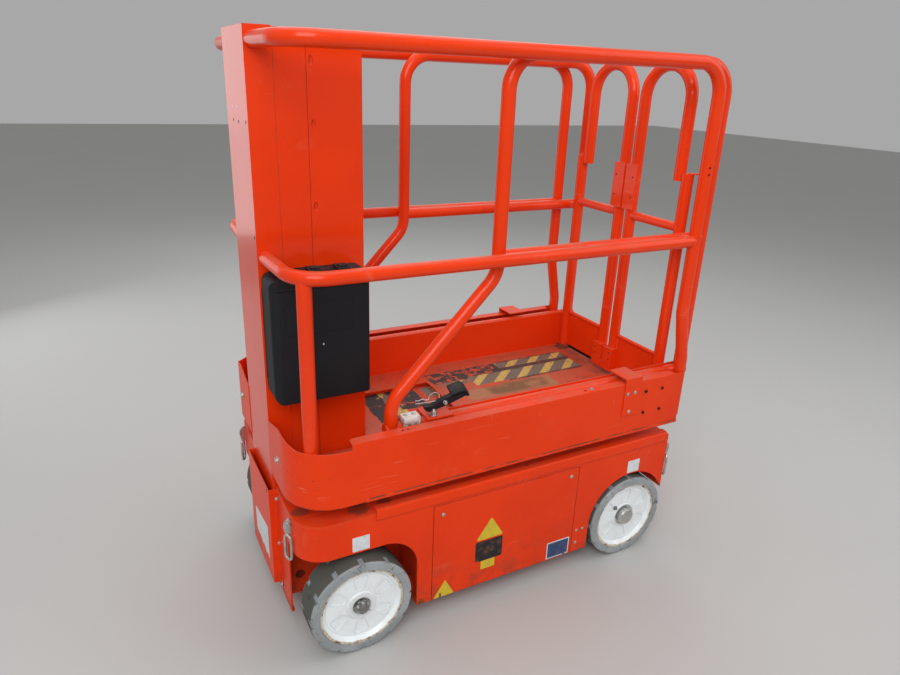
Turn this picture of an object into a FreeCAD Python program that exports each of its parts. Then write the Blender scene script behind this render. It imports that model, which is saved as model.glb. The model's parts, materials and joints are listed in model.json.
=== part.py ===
import FreeCAD, Part
import Sketcher
import math
import os
import re
from types import SimpleNamespace

from FreeCAD import Placement, Rotation, Vector

# Self-propelled vertical mast lift with a roll-out platform extension, in millimetres.
# +X is the gate end, -X the mast end, +Z is up, and the origin lies on the ground under the middle.
# "near" is the -Y side and "far" the +Y side.

SIZES = (
    # wheels and axles
    ("wheel_radius", 152), ("wheel_width", 98), ("tyre_bore", 125), ("tyre_edge", 5),
    ("front_wheel_x", -508), ("rear_wheel_x", 471), ("front_wheel_proud", 27),
    ("rear_wheel_proud", 10), ("rim_step", 4), ("dish_depth", 16), ("dish_radius", 106),
    ("rim_wall", 8), ("hub_radius", 34), ("hub_length", 46), ("stub_radius", 16),
    ("hub_ring", 46), ("hub_rise", 4), ("front_recess", 27), ("rear_recess", 38), ("recess_depth", 14),
    ("cap_radius", 28), ("cap_proud", 3), ("cap_wall", 5),
    ("petal_inner", 50), ("petal_outer", 98), ("petal_narrow", 11), ("petal_wide", 25),
    ("petal_round", 10), ("petal_depth", 3),
    ("running_gap", 0.25), ("fit_gap", 0.3), ("overlap", 0.01), ("cut_room", 20),
    ("nut_radius", 18), ("nut_proud", 2),
    ("kingpin_inset", 84), ("kingpin_radius", 11), ("boss_radius", 20), ("boss_low", 102),
    ("boss_high", 188), ("yoke_thick", 10), ("yoke_gap", 3), ("yoke_web", 9),
    ("bracket_half", 24), ("steer_arm", 48),
    ("steer_bar_width", 22), ("axle_flange_radius", 45), ("axle_flange", 10),
    # chassis
    ("chassis_half_width", 371), ("chassis_front", -671), ("chassis_rear", 625),
    ("chassis_bottom", 69), ("chassis_top", 437), ("sheet", 5), ("corner_bend", 85),
    ("band_bottom", 325), ("well_rear", -328), ("arch_bend", 105), ("bulkhead_x", -292),
    ("inner_plate_y", 160), ("nose_half_width", 236), ("rear_arch_gap", 12),
    ("rear_arch_shift", 5), ("rear_wheel_room", 21), ("lip_start", -456), ("lip_low", 411),
    ("lip_top", 449), ("lip_stand", 4), ("lip_depth", 24), ("plate_hole", 15),
    ("hole_x", -622), ("hole_z", 134), ("hole_pitch", 56), ("mast_seat", 98),
    ("mast_slot_gap", 7),
    # side doors, battery and front cover
    ("door_front", -277), ("door_rear", 244), ("door_top", 403), ("door_gap", 3),
    ("door_lap", 14), ("hinge_radius", 7), ("hinge_rod", 4), ("hinge_z", 79),
    ("hinge_eye", 50), ("hinge_inset", 60), ("lug_gap", 5),
    ("battery_half_length", 205), ("battery_half_width", 300), ("battery_height", 235),
    ("pan_front", -693), ("pan_half_width", 128), ("pan_low", 98), ("pan_top", 428),
    ("pan_wall", 2), ("pan_tab", 22),
    # tie-down links
    ("tie_front_inset", 101), ("tie_rear_inset", 41), ("tie_z", 392), ("tie_length", 112),
    ("tie_wire", 4.5), ("tie_half_width", 12), ("eye_reach", 26), ("eye_thick", 10),
    ("eye_height", 34),
    # mast
    ("mast_front", -678), ("mast_half_width", 122), ("carriage_depth", 66),
    ("outer_depth", 79), ("mast_rear", -392), ("mast_wall", 5), ("mast_top", 1655),
    ("mast_foot", 104), ("foot_gap", 12), ("seam_gap", 0.6), ("base_proud", 1.5), ("guide_gap", 5),
    ("guide_height", 60),
    # platform floor and skirt
    ("skirt_half_width", 379), ("skirt_front", -680), ("skirt_rear", 637), ("skirt_bottom", 489),
    ("skirt_side_top", 673), ("skirt_front_top", 655), ("skirt_wall", 3), ("skirt_bend", 128),
    ("flange_width", 32), ("flange_front", -525), ("flange_rear", 602), ("flange_round", 14),
    ("ear_root", 651), ("ear_top", 682), ("ear_foot_inset", 54), ("ear_run", 80),
    ("ear_bend", 60), ("skirt_roll", 3), ("roll_front", -490), ("roll_height", 9),
    ("bolt_hole", 4.5), ("bolt_hole_x", 476), ("bolt_hole_z", 557), ("bolt_pitch_x", 70),
    ("bolt_pitch_z", 75.5), ("floor_top", 512), ("floor_thick", 6), ("floor_slot_gap", 8),
    # guard rails
    ("tube_radius", 19), ("tube_wall", 3), ("top_rail_z", 1623), ("mid_rail_z", 1112),
    ("rail_start_x", -658), ("rail_corner_x", -646), ("rail_bend", 88), ("rail_lap", 8),
    ("rear_post_x", 606), ("rear_foot_x", 638), ("kink_top", 880), ("kink_low", 715),
    # roll-out extension
    ("slider_inset", 44.2), ("slide_radius", 20), ("mid_tube_radius", 18), ("leg_x", -78),
    ("end_post_x", 680), ("leg_foot_x", -390), ("leg_foot_z", 735), ("leg_knee_z", 1062),
    ("slider_z", 652), ("inner_rail_z", 1112), ("deck_top", 530), ("deck_thick", 5),
    ("deck_rear", 660), ("deck_wall", 3), ("notch_half_width", 165),
    ("notch_rear", -46), ("deck_front", -385), ("skid_width", 60), ("skid_rear", 560),
    ("shoe_front", -362), ("shoe_length", 48), ("shoe_side", 28), ("shoe_inner", 7),
    ("shoe_top", 692),
    # lock of the extension
    ("lock_plate_front", -292), ("lock_plate_length", 80), ("lock_plate_side", 29.5),
    ("lock_plate_thick", 6), ("pivot_x", -222), ("pivot_radius", 9), ("pivot_height", 16),
    ("lever_thick", 6), ("lever_width", 28), ("lever_tail", 62), ("lever_flat", 14),
    ("lever_reach", 58), ("lever_climb", 24), ("lever_crest", 70), ("lever_curl", 34),
    ("lever_bend", 13),
    # keeper hooks over the slide tubes
    ("hook_front", 384), ("hook_length", 65), ("hook_wall", 4), ("hook_low", 560),
    ("hook_top", 692), ("hook_reach", 84),
    # gates
    ("gate_x", 637), ("gate_hinge_inset", 51), ("gate_leg_y", 30), ("arch_inset", 34),
    ("gate_top", 1620), ("arch_leg_end", 1278), ("hinge_top", 1302), ("gate_rail_z", 1132),
    ("gate_foot", 547), ("toe_top", 685), ("toe_low", 548), ("toe_wall", 3), ("toe_lip", 7),
    ("stop_low", 1153), ("stop_height", 152), ("stop_width", 52), ("stop_wall", 4),
    ("foot_stop_height", 64), ("foot_stop_low", 570), ("bracket_width", 24),
    ("bracket_thick", 4), ("pin_length", 34), ("pin_radius", 13), ("collar_radius", 27),
    ("collar_height", 13),
    # document box
    ("case_front", -673), ("case_length", 261), ("case_low", 737), ("case_height", 341),
    ("case_depth", 92), ("case_standoff", 7), ("case_round", 22), ("case_edge", 9),
)

# Distances from the middle plane that follow from the sizes above.
PLACES = (
    ("front_wheel_face", "chassis_half_width + front_wheel_proud"),
    ("rear_wheel_face", "chassis_half_width + rear_wheel_proud"),
    ("kingpin_y", "front_wheel_face - kingpin_inset"),
    ("rear_wall_y", "rear_wheel_face - wheel_width - rear_wheel_room"),
    ("tie_front_y", "chassis_half_width - tie_front_inset"),
    ("tie_rear_y", "chassis_half_width - tie_rear_inset"),
    ("rail_y", "skirt_half_width - skirt_wall - tube_radius - fit_gap"),
    ("slider_y", "rail_y - slider_inset"),
    ("deck_wall_y", "slider_y - slide_radius - fit_gap - deck_wall / 2"),
    ("ear_foot_y", "skirt_half_width - ear_foot_inset"),
    ("ear_crest_y", "ear_foot_y - ear_run"),
    ("hinge_y", "slider_y - gate_hinge_inset"),
    ("arch_leg_y", "hinge_y - arch_inset"),
)

doc = FreeCAD.newDocument("mast_lift")
sheet = doc.addObject("Spreadsheet::Sheet", "sizes")
for row, (alias, value) in enumerate(SIZES, start=1):
    sheet.set(f"A{row}", alias)
    sheet.set(f"B{row}", str(value))
    sheet.setAlias(f"B{row}", alias)

FUNCTIONS = ("sqrt", "sin", "cos", "atan")
PLACE_NAMES = [alias for alias, _ in PLACES]


def reference(word):
    """The full name of a function, a derived place or a size."""
    if word in FUNCTIONS:
        return word
    return f"places.{word}" if word in PLACE_NAMES else f"sizes.{word}"


def formula(text):
    """Turns plain size names into references to the sheet and to the derived places."""
    return re.sub(r"[a-z_]{2,}", lambda word: reference(word[0]), str(text))


places = doc.addObject("App::VarSet", "places")
for alias, text in PLACES:
    places.addProperty("App::PropertyFloat", alias, "Places")
    places.setExpression(alias, formula(text).replace("places.", ""))
doc.recompute()
s = SimpleNamespace(**{alias: float(sheet.get(alias)) for alias, _ in SIZES},
                    **{alias: getattr(places, alias) for alias in PLACE_NAMES})

SIDES = (("near", -1), ("far", 1))
HINGE_LUGS = (("front", "door_front + hinge_inset / 2 - sheet"), ("rear", "door_rear - hinge_inset / 2"))
AXIS_TURN = {
    "x": Rotation(Vector(0, 1, 0), 90),
    "y": Rotation(Vector(1, 0, 0), -90),
    "z": Rotation(),
}
CLOSE = 0.01
START_RADIUS = 50
kept = []


def add(kind, name):
    return doc.addObject(kind, name)


def box(name, x, y, z):
    """A box between a low and a high formula along each axis."""
    piece = add("Part::Box", name)
    for prop, axis, (low, high) in zip(("Length", "Width", "Height"), "xyz", (x, y, z)):
        piece.setExpression(prop, formula(f"({high}) - ({low})"))
        piece.setExpression(f"Placement.Base.{axis}", formula(low))
    return piece


def mirrored_span(side, inner, outer):
    """The low and high formulas of a span of |y| on one side of the machine."""
    return (inner, outer) if side > 0 else (f"-({outer})", f"-({inner})")


def cylinder(name, axis, x, y, z, radius, length):
    """A cylinder that starts at x, y, z and runs along an axis."""
    piece = add("Part::Cylinder", name)
    piece.Placement = Placement(Vector(), AXIS_TURN[axis])
    piece.setExpression("Radius", formula(radius))
    piece.setExpression("Height", formula(length))
    for letter, text in zip("xyz", (x, y, z)):
        piece.setExpression(f"Placement.Base.{letter}", formula(text))
    return piece


def across(name, side, x, inner, outer, z, radius):
    """A cylinder along Y over a span of |y| on one side."""
    low, high = mirrored_span(side, inner, outer)
    return cylinder(name, "y", x, low, z, radius, f"({high}) - ({low})")


def fuse(name, pieces):
    joined = add("Part::MultiFuse", name)
    joined.Shapes = pieces
    joined.Refine = True
    return joined


def cut(name, base, tools):
    tool = tools[0]
    if len(tools) > 1:
        tool = add("Part::MultiFuse", name + "_tools")
        tool.Shapes = tools
    piece = add("Part::Cut", name)
    piece.Base = base
    piece.Tool = tool
    return piece


def common(name, pieces):
    shared = add("Part::MultiCommon", name)
    shared.Shapes = pieces
    return shared


def rounded(name, base, radius, wanted):
    """Rounds the edges of a piece that the test picks."""
    doc.recompute()
    piece = add("Part::Fillet", name)
    piece.Base = base
    piece.Edges = [(number, radius, radius)
                   for number, edge in enumerate(base.Shape.Edges, start=1) if wanted(edge)]
    return piece


def keep(piece, node):
    """Marks a finished sub-part, whose label names its file."""
    piece.Label = node
    kept.append(piece)
    return piece


def sketch_in(body, plane_role, points, name="_outline"):
    """A closed outline in a body, each corner held by a pair of distances bound to the sheet."""
    plane = next(item for item in body.Origin.OriginFeatures if item.Role == plane_role)
    sketch = body.newObject("Sketcher::SketchObject", body.Name + name)
    sketch.AttachmentSupport = [(plane, "")]
    sketch.MapMode = "FlatFace"
    count = len(points)
    start = [Vector(math.cos(math.tau * n / count), math.sin(math.tau * n / count), 0) * START_RADIUS
             for n in range(count)]
    for n in range(count):
        sketch.addGeometry(Part.LineSegment(start[n], start[(n + 1) % count]), False)
    for n in range(count):
        sketch.addConstraint(Sketcher.Constraint("Coincident", n, 2, (n + 1) % count, 1))
    for n, corner in enumerate(points):
        for kind, text, guess in zip(("DistanceX", "DistanceY"), corner, start[n]):
            index = sketch.addConstraint(Sketcher.Constraint(kind, -1, 1, n, 1, guess))
            sketch.renameConstraint(index, f"{kind}{n}")
            sketch.setExpression(f"Constraints.{kind}{n}", formula(text))
    return sketch


def turned(name, outline, x, z):
    """A body turned about a line along Y, from an outline of (y, radius) corners."""
    body = add("PartDesign::Body", name)
    sketch = sketch_in(body, "YZ_Plane", outline)
    turn = body.newObject("PartDesign::Revolution", name + "_turn")
    turn.Profile = sketch
    turn.ReferenceAxis = (sketch, ["H_Axis"])
    turn.Angle = 360
    body.Tip = turn
    body.setExpression("Placement.Base.x", formula(x))
    body.setExpression("Placement.Base.z", formula(z))
    return body


def profile_bar(name, side, outline, low_x, high_x):
    """A bar along X between two formulas, whose section is an outline of (|y|, z) corners on one side."""
    body = add("PartDesign::Body", name)
    sketch = sketch_in(body, "YZ_Plane", [(f"{side} * ({y})", z) for y, z in outline])
    sketch.setExpression("AttachmentOffset.Base.z", formula(low_x))
    bar = body.newObject("PartDesign::Pad", name + "_bar")
    bar.Profile = sketch
    bar.setExpression("Length", formula(f"({high_x}) - ({low_x})"))
    return body


def rounded_path(points, radius):
    """Straight runs through the points, joined by tangent arcs of one radius."""
    edges = []
    start = points[0]
    for before, corner, after in zip(points, points[1:], points[2:]):
        arriving = (corner - before).normalize()
        leaving = (after - corner).normalize()
        half_turn = arriving.getAngle(leaving) / 2
        reach = radius * math.tan(half_turn)
        inward = (leaving - arriving).normalize()
        middle = corner + inward * (radius / math.cos(half_turn) - radius)
        bend = Part.Arc(corner - arriving * reach, middle, corner + leaving * reach)
        edges += [Part.LineSegment(start, corner - arriving * reach).toShape(), bend.toShape()]
        start = corner + leaving * reach
    edges.append(Part.LineSegment(start, points[-1]).toShape())
    return Part.Wire(edges)


def tube(name, points, bend=None, radius="tube_radius"):
    """A round tube along a bent path."""
    points = [Vector(*point) for point in points]
    path = add("Part::Feature", name + "_path")
    path.Shape = rounded_path(points, bend or s.rail_bend)
    section = add("Part::Circle", name + "_section")
    section.setExpression("Radius", formula(radius))
    section.Placement = Placement(points[0], Rotation(Vector(0, 0, 1), points[1] - points[0]))
    sweep = add("Part::Sweep", name)
    sweep.Sections = [section]
    sweep.Spine = (path, [f"Edge{n + 1}" for n in range(len(path.Shape.Edges))])
    sweep.Solid = True
    sweep.Frenet = False
    return sweep


def strap(name, points, width, thick, bend=0):
    """A flat strap bent along a path that starts level."""
    points = [Vector(*point) for point in points]
    path = add("Part::Feature", name + "_path")
    path.Shape = rounded_path(points, bend)
    along = (points[1] - points[0]).normalize()
    upright = Vector(0, 0, thick / 2)
    sideways = upright.cross(along).normalize() * (width / 2)
    corners = [points[0] + upright * up + sideways * out for up, out in ((1, 1), (1, -1), (-1, -1), (-1, 1))]
    section = add("Part::Feature", name + "_section")
    section.Shape = Part.makePolygon(corners + corners[:1])
    sweep = add("Part::Sweep", name)
    sweep.Sections = [section]
    sweep.Spine = (path, [f"Edge{n + 1}" for n in range(len(path.Shape.Edges))])
    sweep.Solid = True
    return sweep


def corner_arc(name, front, rear, half_width, bend, low, high):
    """A block with its two front corners rounded, seen from above."""
    block = box(name + "_block", (front, rear), (f"-({half_width})", half_width), (low, high))
    doc.recompute()
    foremost = block.Shape.BoundBox.XMin
    return rounded(name, block, bend, lambda edge: edge.BoundBox.ZLength > 1
                   and edge.BoundBox.XLength < CLOSE and edge.BoundBox.XMax < foremost + 1)


def pressed_petals(body, face, side):
    """Six rounded recesses pressed into the dish of a rim."""
    axle = next(item for item in body.Origin.OriginFeatures if item.Role == "Y_Axis")
    disc = body.Tip
    sketch = sketch_in(body, "XZ_Plane", (
        ("-(petal_wide)", "petal_outer"), ("petal_wide", "petal_outer"),
        ("petal_narrow", "petal_inner"), ("-(petal_narrow)", "petal_inner")), name="_petal")
    sketch.setExpression("AttachmentOffset.Base.z", formula(f"{-side} * ({face} - dish_depth)"))
    pocket = body.newObject("PartDesign::Pocket", body.Name + "_petal")
    pocket.Profile = sketch
    pocket.setExpression("Length", formula("petal_depth"))
    pocket.Reversed = side > 0
    doc.recompute()
    ring = body.newObject("PartDesign::PolarPattern", body.Name + "_petals")
    ring.Originals = [pocket]
    ring.Axis = (axle, [""])
    ring.Angle = 360
    ring.Occurrences = 6
    body.Tip = ring
    doc.recompute()
    corners = [f"Edge{number}" for number, edge in enumerate(ring.Shape.Edges, start=1)
               if abs(edge.BoundBox.YLength - s.petal_depth) < CLOSE
               and edge.BoundBox.DiagonalLength < s.petal_depth * 1.1]
    soft = body.newObject("PartDesign::Fillet", body.Name + "_petal_round")
    soft.Base = (ring, corners)
    soft.setExpression("Radius", formula("petal_round"))
    body.Tip = soft
    doc.recompute()
    if not soft.Shape.Volume < disc.Shape.Volume - 6 * s.petal_depth * s.petal_narrow ** 2:
        raise RuntimeError(body.Name + " has no petals")
    return body


def make_wheels():
    ends = (("front", "front_wheel_x", "front_wheel_face"), ("rear", "rear_wheel_x", "rear_wheel_face"))
    hub_face = "dish_depth - hub_rise"
    hub_floor = "dish_depth - hub_rise + recess_depth"
    for end, x, face in ends:
        for side_name, side in SIDES:
            def at(depth, radius):
                return (f"{side} * ({face} - ({depth}))", radius)
            name = f"{end}_{side_name}"
            if end == "front":
                hub_end = (at(hub_floor, "stub_radius + running_gap"),)
            else:
                hub_end = (
                    at(hub_floor, "cap_radius"), at("-(cap_proud)", "cap_radius"), at("-(cap_proud)", "0"),
                    at("cap_wall - cap_proud", "0"),
                    at("cap_wall - cap_proud", "stub_radius + running_gap"))
            tyre = turned("tyre_" + name, (
                at("0", "tyre_bore"), at("0", "wheel_radius - tyre_edge"), at("tyre_edge", "wheel_radius"),
                at("wheel_width", "wheel_radius"), at("wheel_width", "tyre_bore"),
            ), x, "wheel_radius")
            keep(tyre, "tyre_" + name)
            rim = turned("rim_" + name, (
                at("rim_step", "tyre_bore - fit_gap"), at("rim_step", "tyre_bore - rim_wall"),
                at("dish_depth", "dish_radius"), at("dish_depth", "hub_ring"),
                at(hub_face, "hub_ring - hub_rise"), at(hub_face, f"{end}_recess"),
                at(hub_floor, f"{end}_recess"),
                *hub_end,
                at("hub_length", "stub_radius + running_gap"), at("hub_length", "hub_radius"),
                at("dish_depth + rim_wall", "hub_radius + rim_wall"),
                at("dish_depth + rim_wall", "dish_radius - rim_wall"),
                at("dish_depth + rim_wall * 2", "tyre_bore - rim_wall"),
                at("wheel_width - rim_step", "tyre_bore - rim_wall"),
                at("wheel_width - rim_step", "tyre_bore - fit_gap"),
            ), x, "wheel_radius")
            keep(pressed_petals(rim, face, side), "rim_" + name)


def make_axles():
    brackets = []
    for side_name, side in SIDES:
        boss = cylinder(f"boss_{side_name}", "z", "front_wheel_x", f"{side} * kingpin_y",
                        "boss_low", "boss_radius", "boss_high - boss_low")
        arm = box(f"arm_{side_name}", ("front_wheel_x - bracket_half", "front_wheel_x + bracket_half"),
                  mirrored_span(side, "inner_plate_y + sheet", "kingpin_y - kingpin_radius * 1.2"),
                  ("boss_low", "boss_high"))
        bore = cylinder(f"boss_bore_{side_name}", "z", "front_wheel_x", f"{side} * kingpin_y",
                        "boss_low - 1", "kingpin_radius + running_gap", "boss_high - boss_low + 2")
        brackets.append(cut(f"bracket_{side_name}", fuse(f"bracket_body_{side_name}", [boss, arm]), [bore]))
    keep(fuse("kingpin_brackets", brackets), "kingpin_brackets")

    for side_name, side in SIDES:
        y = f"{side} * kingpin_y"
        x_span = ("front_wheel_x - bracket_half", "front_wheel_x + bracket_half")
        pin = cylinder(f"kingpin_{side_name}", "z", "front_wheel_x", y, "boss_low - fit_gap - yoke_thick",
                       "kingpin_radius", "boss_high - boss_low + fit_gap * 2 + yoke_thick * 2")
        cheek_span = mirrored_span(side, "kingpin_y - kingpin_radius * 1.5",
                                   "kingpin_y + boss_radius + yoke_gap + yoke_web")
        upper = box(f"yoke_top_{side_name}", x_span, cheek_span,
                    ("boss_high + fit_gap", "boss_high + fit_gap + yoke_thick"))
        lower = box(f"yoke_foot_{side_name}", x_span, cheek_span,
                    ("boss_low - fit_gap - yoke_thick", "boss_low - fit_gap"))
        web = box(f"yoke_web_{side_name}", x_span,
                  mirrored_span(side, "kingpin_y + boss_radius + yoke_gap",
                                "kingpin_y + boss_radius + yoke_gap + yoke_web"),
                  ("boss_low - fit_gap - yoke_thick", "boss_high + fit_gap + yoke_thick"))
        stub = across(f"stub_{side_name}", side, "front_wheel_x", "kingpin_y + boss_radius + yoke_gap + 1",
                      "front_wheel_face", "wheel_radius", "stub_radius")
        nut = across(f"nut_{side_name}", side, "front_wheel_x",
                     "front_wheel_face - dish_depth + hub_rise - recess_depth + fit_gap",
                     "front_wheel_face + nut_proud", "wheel_radius", "nut_radius")
        arm = box(f"steer_arm_{side_name}", ("front_wheel_x", "front_wheel_x + steer_arm + yoke_thick"),
                  mirrored_span(side, "kingpin_y - yoke_thick", "kingpin_y + yoke_thick"),
                  ("boss_low - fit_gap - yoke_thick", "boss_low - fit_gap"))
        keep(fuse("knuckle_" + side_name, [pin, upper, lower, web, stub, nut, arm]), "knuckle_" + side_name)

    bar_top = "boss_low - yoke_thick - fit_gap * 2"
    bar = box("steer_bar_flat",
              ("front_wheel_x + steer_arm - steer_bar_width / 2",
               "front_wheel_x + steer_arm + steer_bar_width / 2"),
              ("-(kingpin_y)", "kingpin_y"),
              (bar_top + " - yoke_thick", bar_top))
    eyes = [cylinder(f"steer_eye_{side_name}", "z", "front_wheel_x + steer_arm",
                     f"{side} * kingpin_y", bar_top + " - yoke_thick",
                     "steer_bar_width * 0.7", "yoke_thick") for side_name, side in SIDES]
    keep(fuse("steer_bar", [bar] + eyes), "steer_bar")

    shafts = [across(f"rear_shaft_{side_name}", side, "rear_wheel_x", "0", "rear_wheel_face - rim_step",
                     "wheel_radius", "stub_radius") for side_name, side in SIDES]
    flanges = [across(f"rear_flange_{side_name}", side, "rear_wheel_x", "rear_wall_y + sheet",
                      "rear_wall_y + sheet + axle_flange", "wheel_radius", "axle_flange_radius")
               for side_name, side in SIDES]
    keep(fuse("rear_axle", shafts + flanges), "rear_axle")


def make_chassis():
    def block(name, inset, bend):
        return corner_arc(name, f"chassis_front + {inset}", f"chassis_rear - {inset}",
                          f"chassis_half_width - {inset}", bend,
                          f"chassis_bottom + {inset}", f"chassis_top - {inset}")

    inside = block("chassis_inside", "sheet", s.corner_bend - s.sheet)
    skin = cut("chassis_skin", block("chassis_outside", "0", s.corner_bend), [inside])
    arch_x = "rear_wheel_x + rear_arch_shift"
    arch_radius = "wheel_radius + rear_arch_gap"
    arch_front = f"{arch_x} - ({arch_radius})"
    slot_half = "mast_half_width + mast_slot_gap"
    openings = [
        box("mast_slot", ("mast_front - cut_room", "mast_rear + mast_slot_gap"),
            (f"-({slot_half})", slot_half), ("chassis_bottom + sheet", "chassis_top + 1")),
    ]
    walls, lip_bars, lips = [], [], []
    for side_name, side in SIDES:
        outward = mirrored_span(side, "inner_plate_y + sheet", "chassis_half_width + 1")
        well = box("front_well_" + side_name, ("chassis_front + sheet * 2", "well_rear"), outward,
                   ("chassis_bottom - 1", "band_bottom"))
        openings.append(rounded(f"front_arch_{side_name}", well, s.arch_bend,
                                lambda edge: edge.BoundBox.YLength > 1
                                and edge.BoundBox.XMin > s.well_rear - 1
                                and edge.BoundBox.ZMin > s.band_bottom - 1))
        openings += [
            box("nose_gap_" + side_name, ("chassis_front - 1", "chassis_front + sheet * 3"),
                mirrored_span(side, "nose_half_width", "chassis_half_width + 1"),
                ("chassis_bottom - 1", "band_bottom")),
            across("rear_arch_" + side_name, side, arch_x, "rear_wall_y + sheet",
                   "chassis_half_width + 1", "wheel_radius + rear_arch_shift", arch_radius),
            box("rear_floor_gap_" + side_name, (arch_front, "chassis_rear + 1"),
                mirrored_span(side, "rear_wall_y + sheet", "chassis_half_width + 1"),
                ("chassis_bottom - 1", "wheel_radius")),
            box("door_way_" + side_name, ("door_front + door_lap", "door_rear - door_lap"),
                mirrored_span(side, "chassis_half_width - sheet * 4", "chassis_half_width + 1"),
                ("hinge_z + hinge_radius * 2", "door_top - door_lap")),
            box("door_recess_" + side_name, ("door_front - door_gap", "door_rear + door_gap"),
                mirrored_span(side, "chassis_half_width - sheet", "chassis_half_width + 1"),
                ("chassis_bottom - 1", "door_top + door_gap")),
            box("hinge_way_" + side_name, ("door_front - door_gap", "door_rear + door_gap"),
                mirrored_span(side, "chassis_half_width - sheet - hinge_radius * 3",
                              "chassis_half_width + 1"),
                ("chassis_bottom - 1", "hinge_z + hinge_radius * 2 + 1")),
        ]
        walls += [
            box("inner_plate_" + side_name, ("chassis_front + sheet / 2", "bulkhead_x"),
                mirrored_span(side, "inner_plate_y", "inner_plate_y + sheet"),
                ("chassis_bottom", "chassis_top - sheet / 2")),
            box("bulkhead_" + side_name, ("bulkhead_x - sheet", "bulkhead_x"),
                mirrored_span(side, "inner_plate_y", "chassis_half_width - sheet / 2"),
                ("chassis_bottom", "chassis_top - sheet / 2")),
            box("arch_edge_" + side_name, ("well_rear", "bulkhead_x"),
                mirrored_span(side, "chassis_half_width - sheet * 2", "chassis_half_width - sheet / 2"),
                ("chassis_bottom", "band_bottom - arch_bend")),
            box("door_frame_" + side_name, ("bulkhead_x - sheet / 2", f"{arch_front} + sheet / 2"),
                mirrored_span(side, "chassis_half_width - sheet * 2", "chassis_half_width - sheet / 2"),
                ("chassis_bottom", "chassis_top - sheet / 2")),
            box("rear_wall_" + side_name, (f"{arch_front} - sheet", "chassis_rear - sheet / 2"),
                mirrored_span(side, "rear_wall_y", "rear_wall_y + sheet"),
                ("chassis_bottom + sheet / 2", "chassis_top - sheet / 2")),
            box("rear_bulkhead_" + side_name, (f"{arch_front} - sheet", arch_front),
                mirrored_span(side, "rear_wall_y", "chassis_half_width - sheet / 2"),
                ("chassis_bottom + sheet / 2", "chassis_top - sheet / 2")),
        ]
        bar = box("lip_bar_" + side_name, ("lip_start", "chassis_rear - sheet * 2"),
                  mirrored_span(side, "chassis_half_width - lip_depth", "chassis_half_width + lip_stand"),
                  ("lip_low", "lip_top"))
        lip_bars.append(bar)
        lips.append(rounded("lip_" + side_name, bar, s.lip_stand * 2,
                            lambda edge: edge.BoundBox.XLength > 1
                            and abs(edge.BoundBox.YMin) > s.chassis_half_width))
        for number in (0, 1):
            openings.append(across(f"plate_hole_{number}_{side_name}", side,
                                   f"hole_x + hole_pitch * {number}",
                                   "inner_plate_y - 1", "inner_plate_y + sheet + 1",
                                   f"hole_z - hole_pitch * {number} / 7", "plate_hole"))
    openings.append(box("steer_bar_way",
                        ("front_wheel_x + steer_arm - steer_bar_width * 1.5",
                         "front_wheel_x + steer_arm + steer_bar_width * 1.5"),
                        ("-(inner_plate_y + sheet * 2)", "inner_plate_y + sheet * 2"),
                        ("chassis_bottom + sheet", "mast_seat")))
    for side_name, side in SIDES:
        openings.append(across("shaft_hole_" + side_name, side, "rear_wheel_x", "rear_wall_y - 1",
                               "rear_wall_y + sheet + 1", "wheel_radius", "stub_radius + fit_gap"))
    seat = box("mast_seat_plate", ("mast_front + guide_gap * 4", "mast_rear + sheet * 2"),
               ("-(inner_plate_y + sheet / 2)", "inner_plate_y + sheet / 2"),
               ("mast_seat", "mast_foot"))
    rods, lugs = [], []
    for side_name, side in SIDES:
        y = f"{side} * (chassis_half_width - hinge_radius)"
        rods.append(cylinder("hinge_rod_" + side_name, "x", "door_front + hinge_inset / 2", y, "hinge_z",
                             "hinge_rod", "door_rear - door_front - hinge_inset"))
        for end, x in HINGE_LUGS:
            lugs.append(box(f"hinge_lug_{end}_{side_name}", (x, f"{x} + sheet"),
                            mirrored_span(side, "chassis_half_width - sheet * 2 - hinge_radius * 3",
                                          "chassis_half_width - sheet - fit_gap"),
                            ("chassis_bottom", "hinge_z + hinge_rod * 1.2")))
    top_zone = box("top_zone", ("chassis_front - 1", "chassis_rear + 1"),
                   ("-(chassis_half_width + 1)", "chassis_half_width + 1"),
                   ("chassis_top - sheet", "chassis_top + 1"))
    top = common("top_whole", [skin, top_zone])
    keep(cut("chassis_top_plate", top, openings + lip_bars), "chassis_top")
    shell = cut("chassis_shell", skin, openings + lip_bars + [top_zone])
    keep(fuse("chassis_frame", [shell] + rods + lugs), "chassis_frame")
    trimmed = common("plates_trimmed", [fuse("plates_whole", walls), inside])
    plates = cut("plates_cut", trimmed, openings + lip_bars)
    keep(fuse("chassis_plates", [plates, seat]), "chassis_plates")
    keep(fuse("edge_rails", lips), "edge_rails")

    keep(box("battery_block", ("-(battery_half_length)", "battery_half_length"),
             ("-(battery_half_width)", "battery_half_width"),
             ("chassis_bottom + sheet", "chassis_bottom + sheet + battery_height")), "battery_block")


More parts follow.
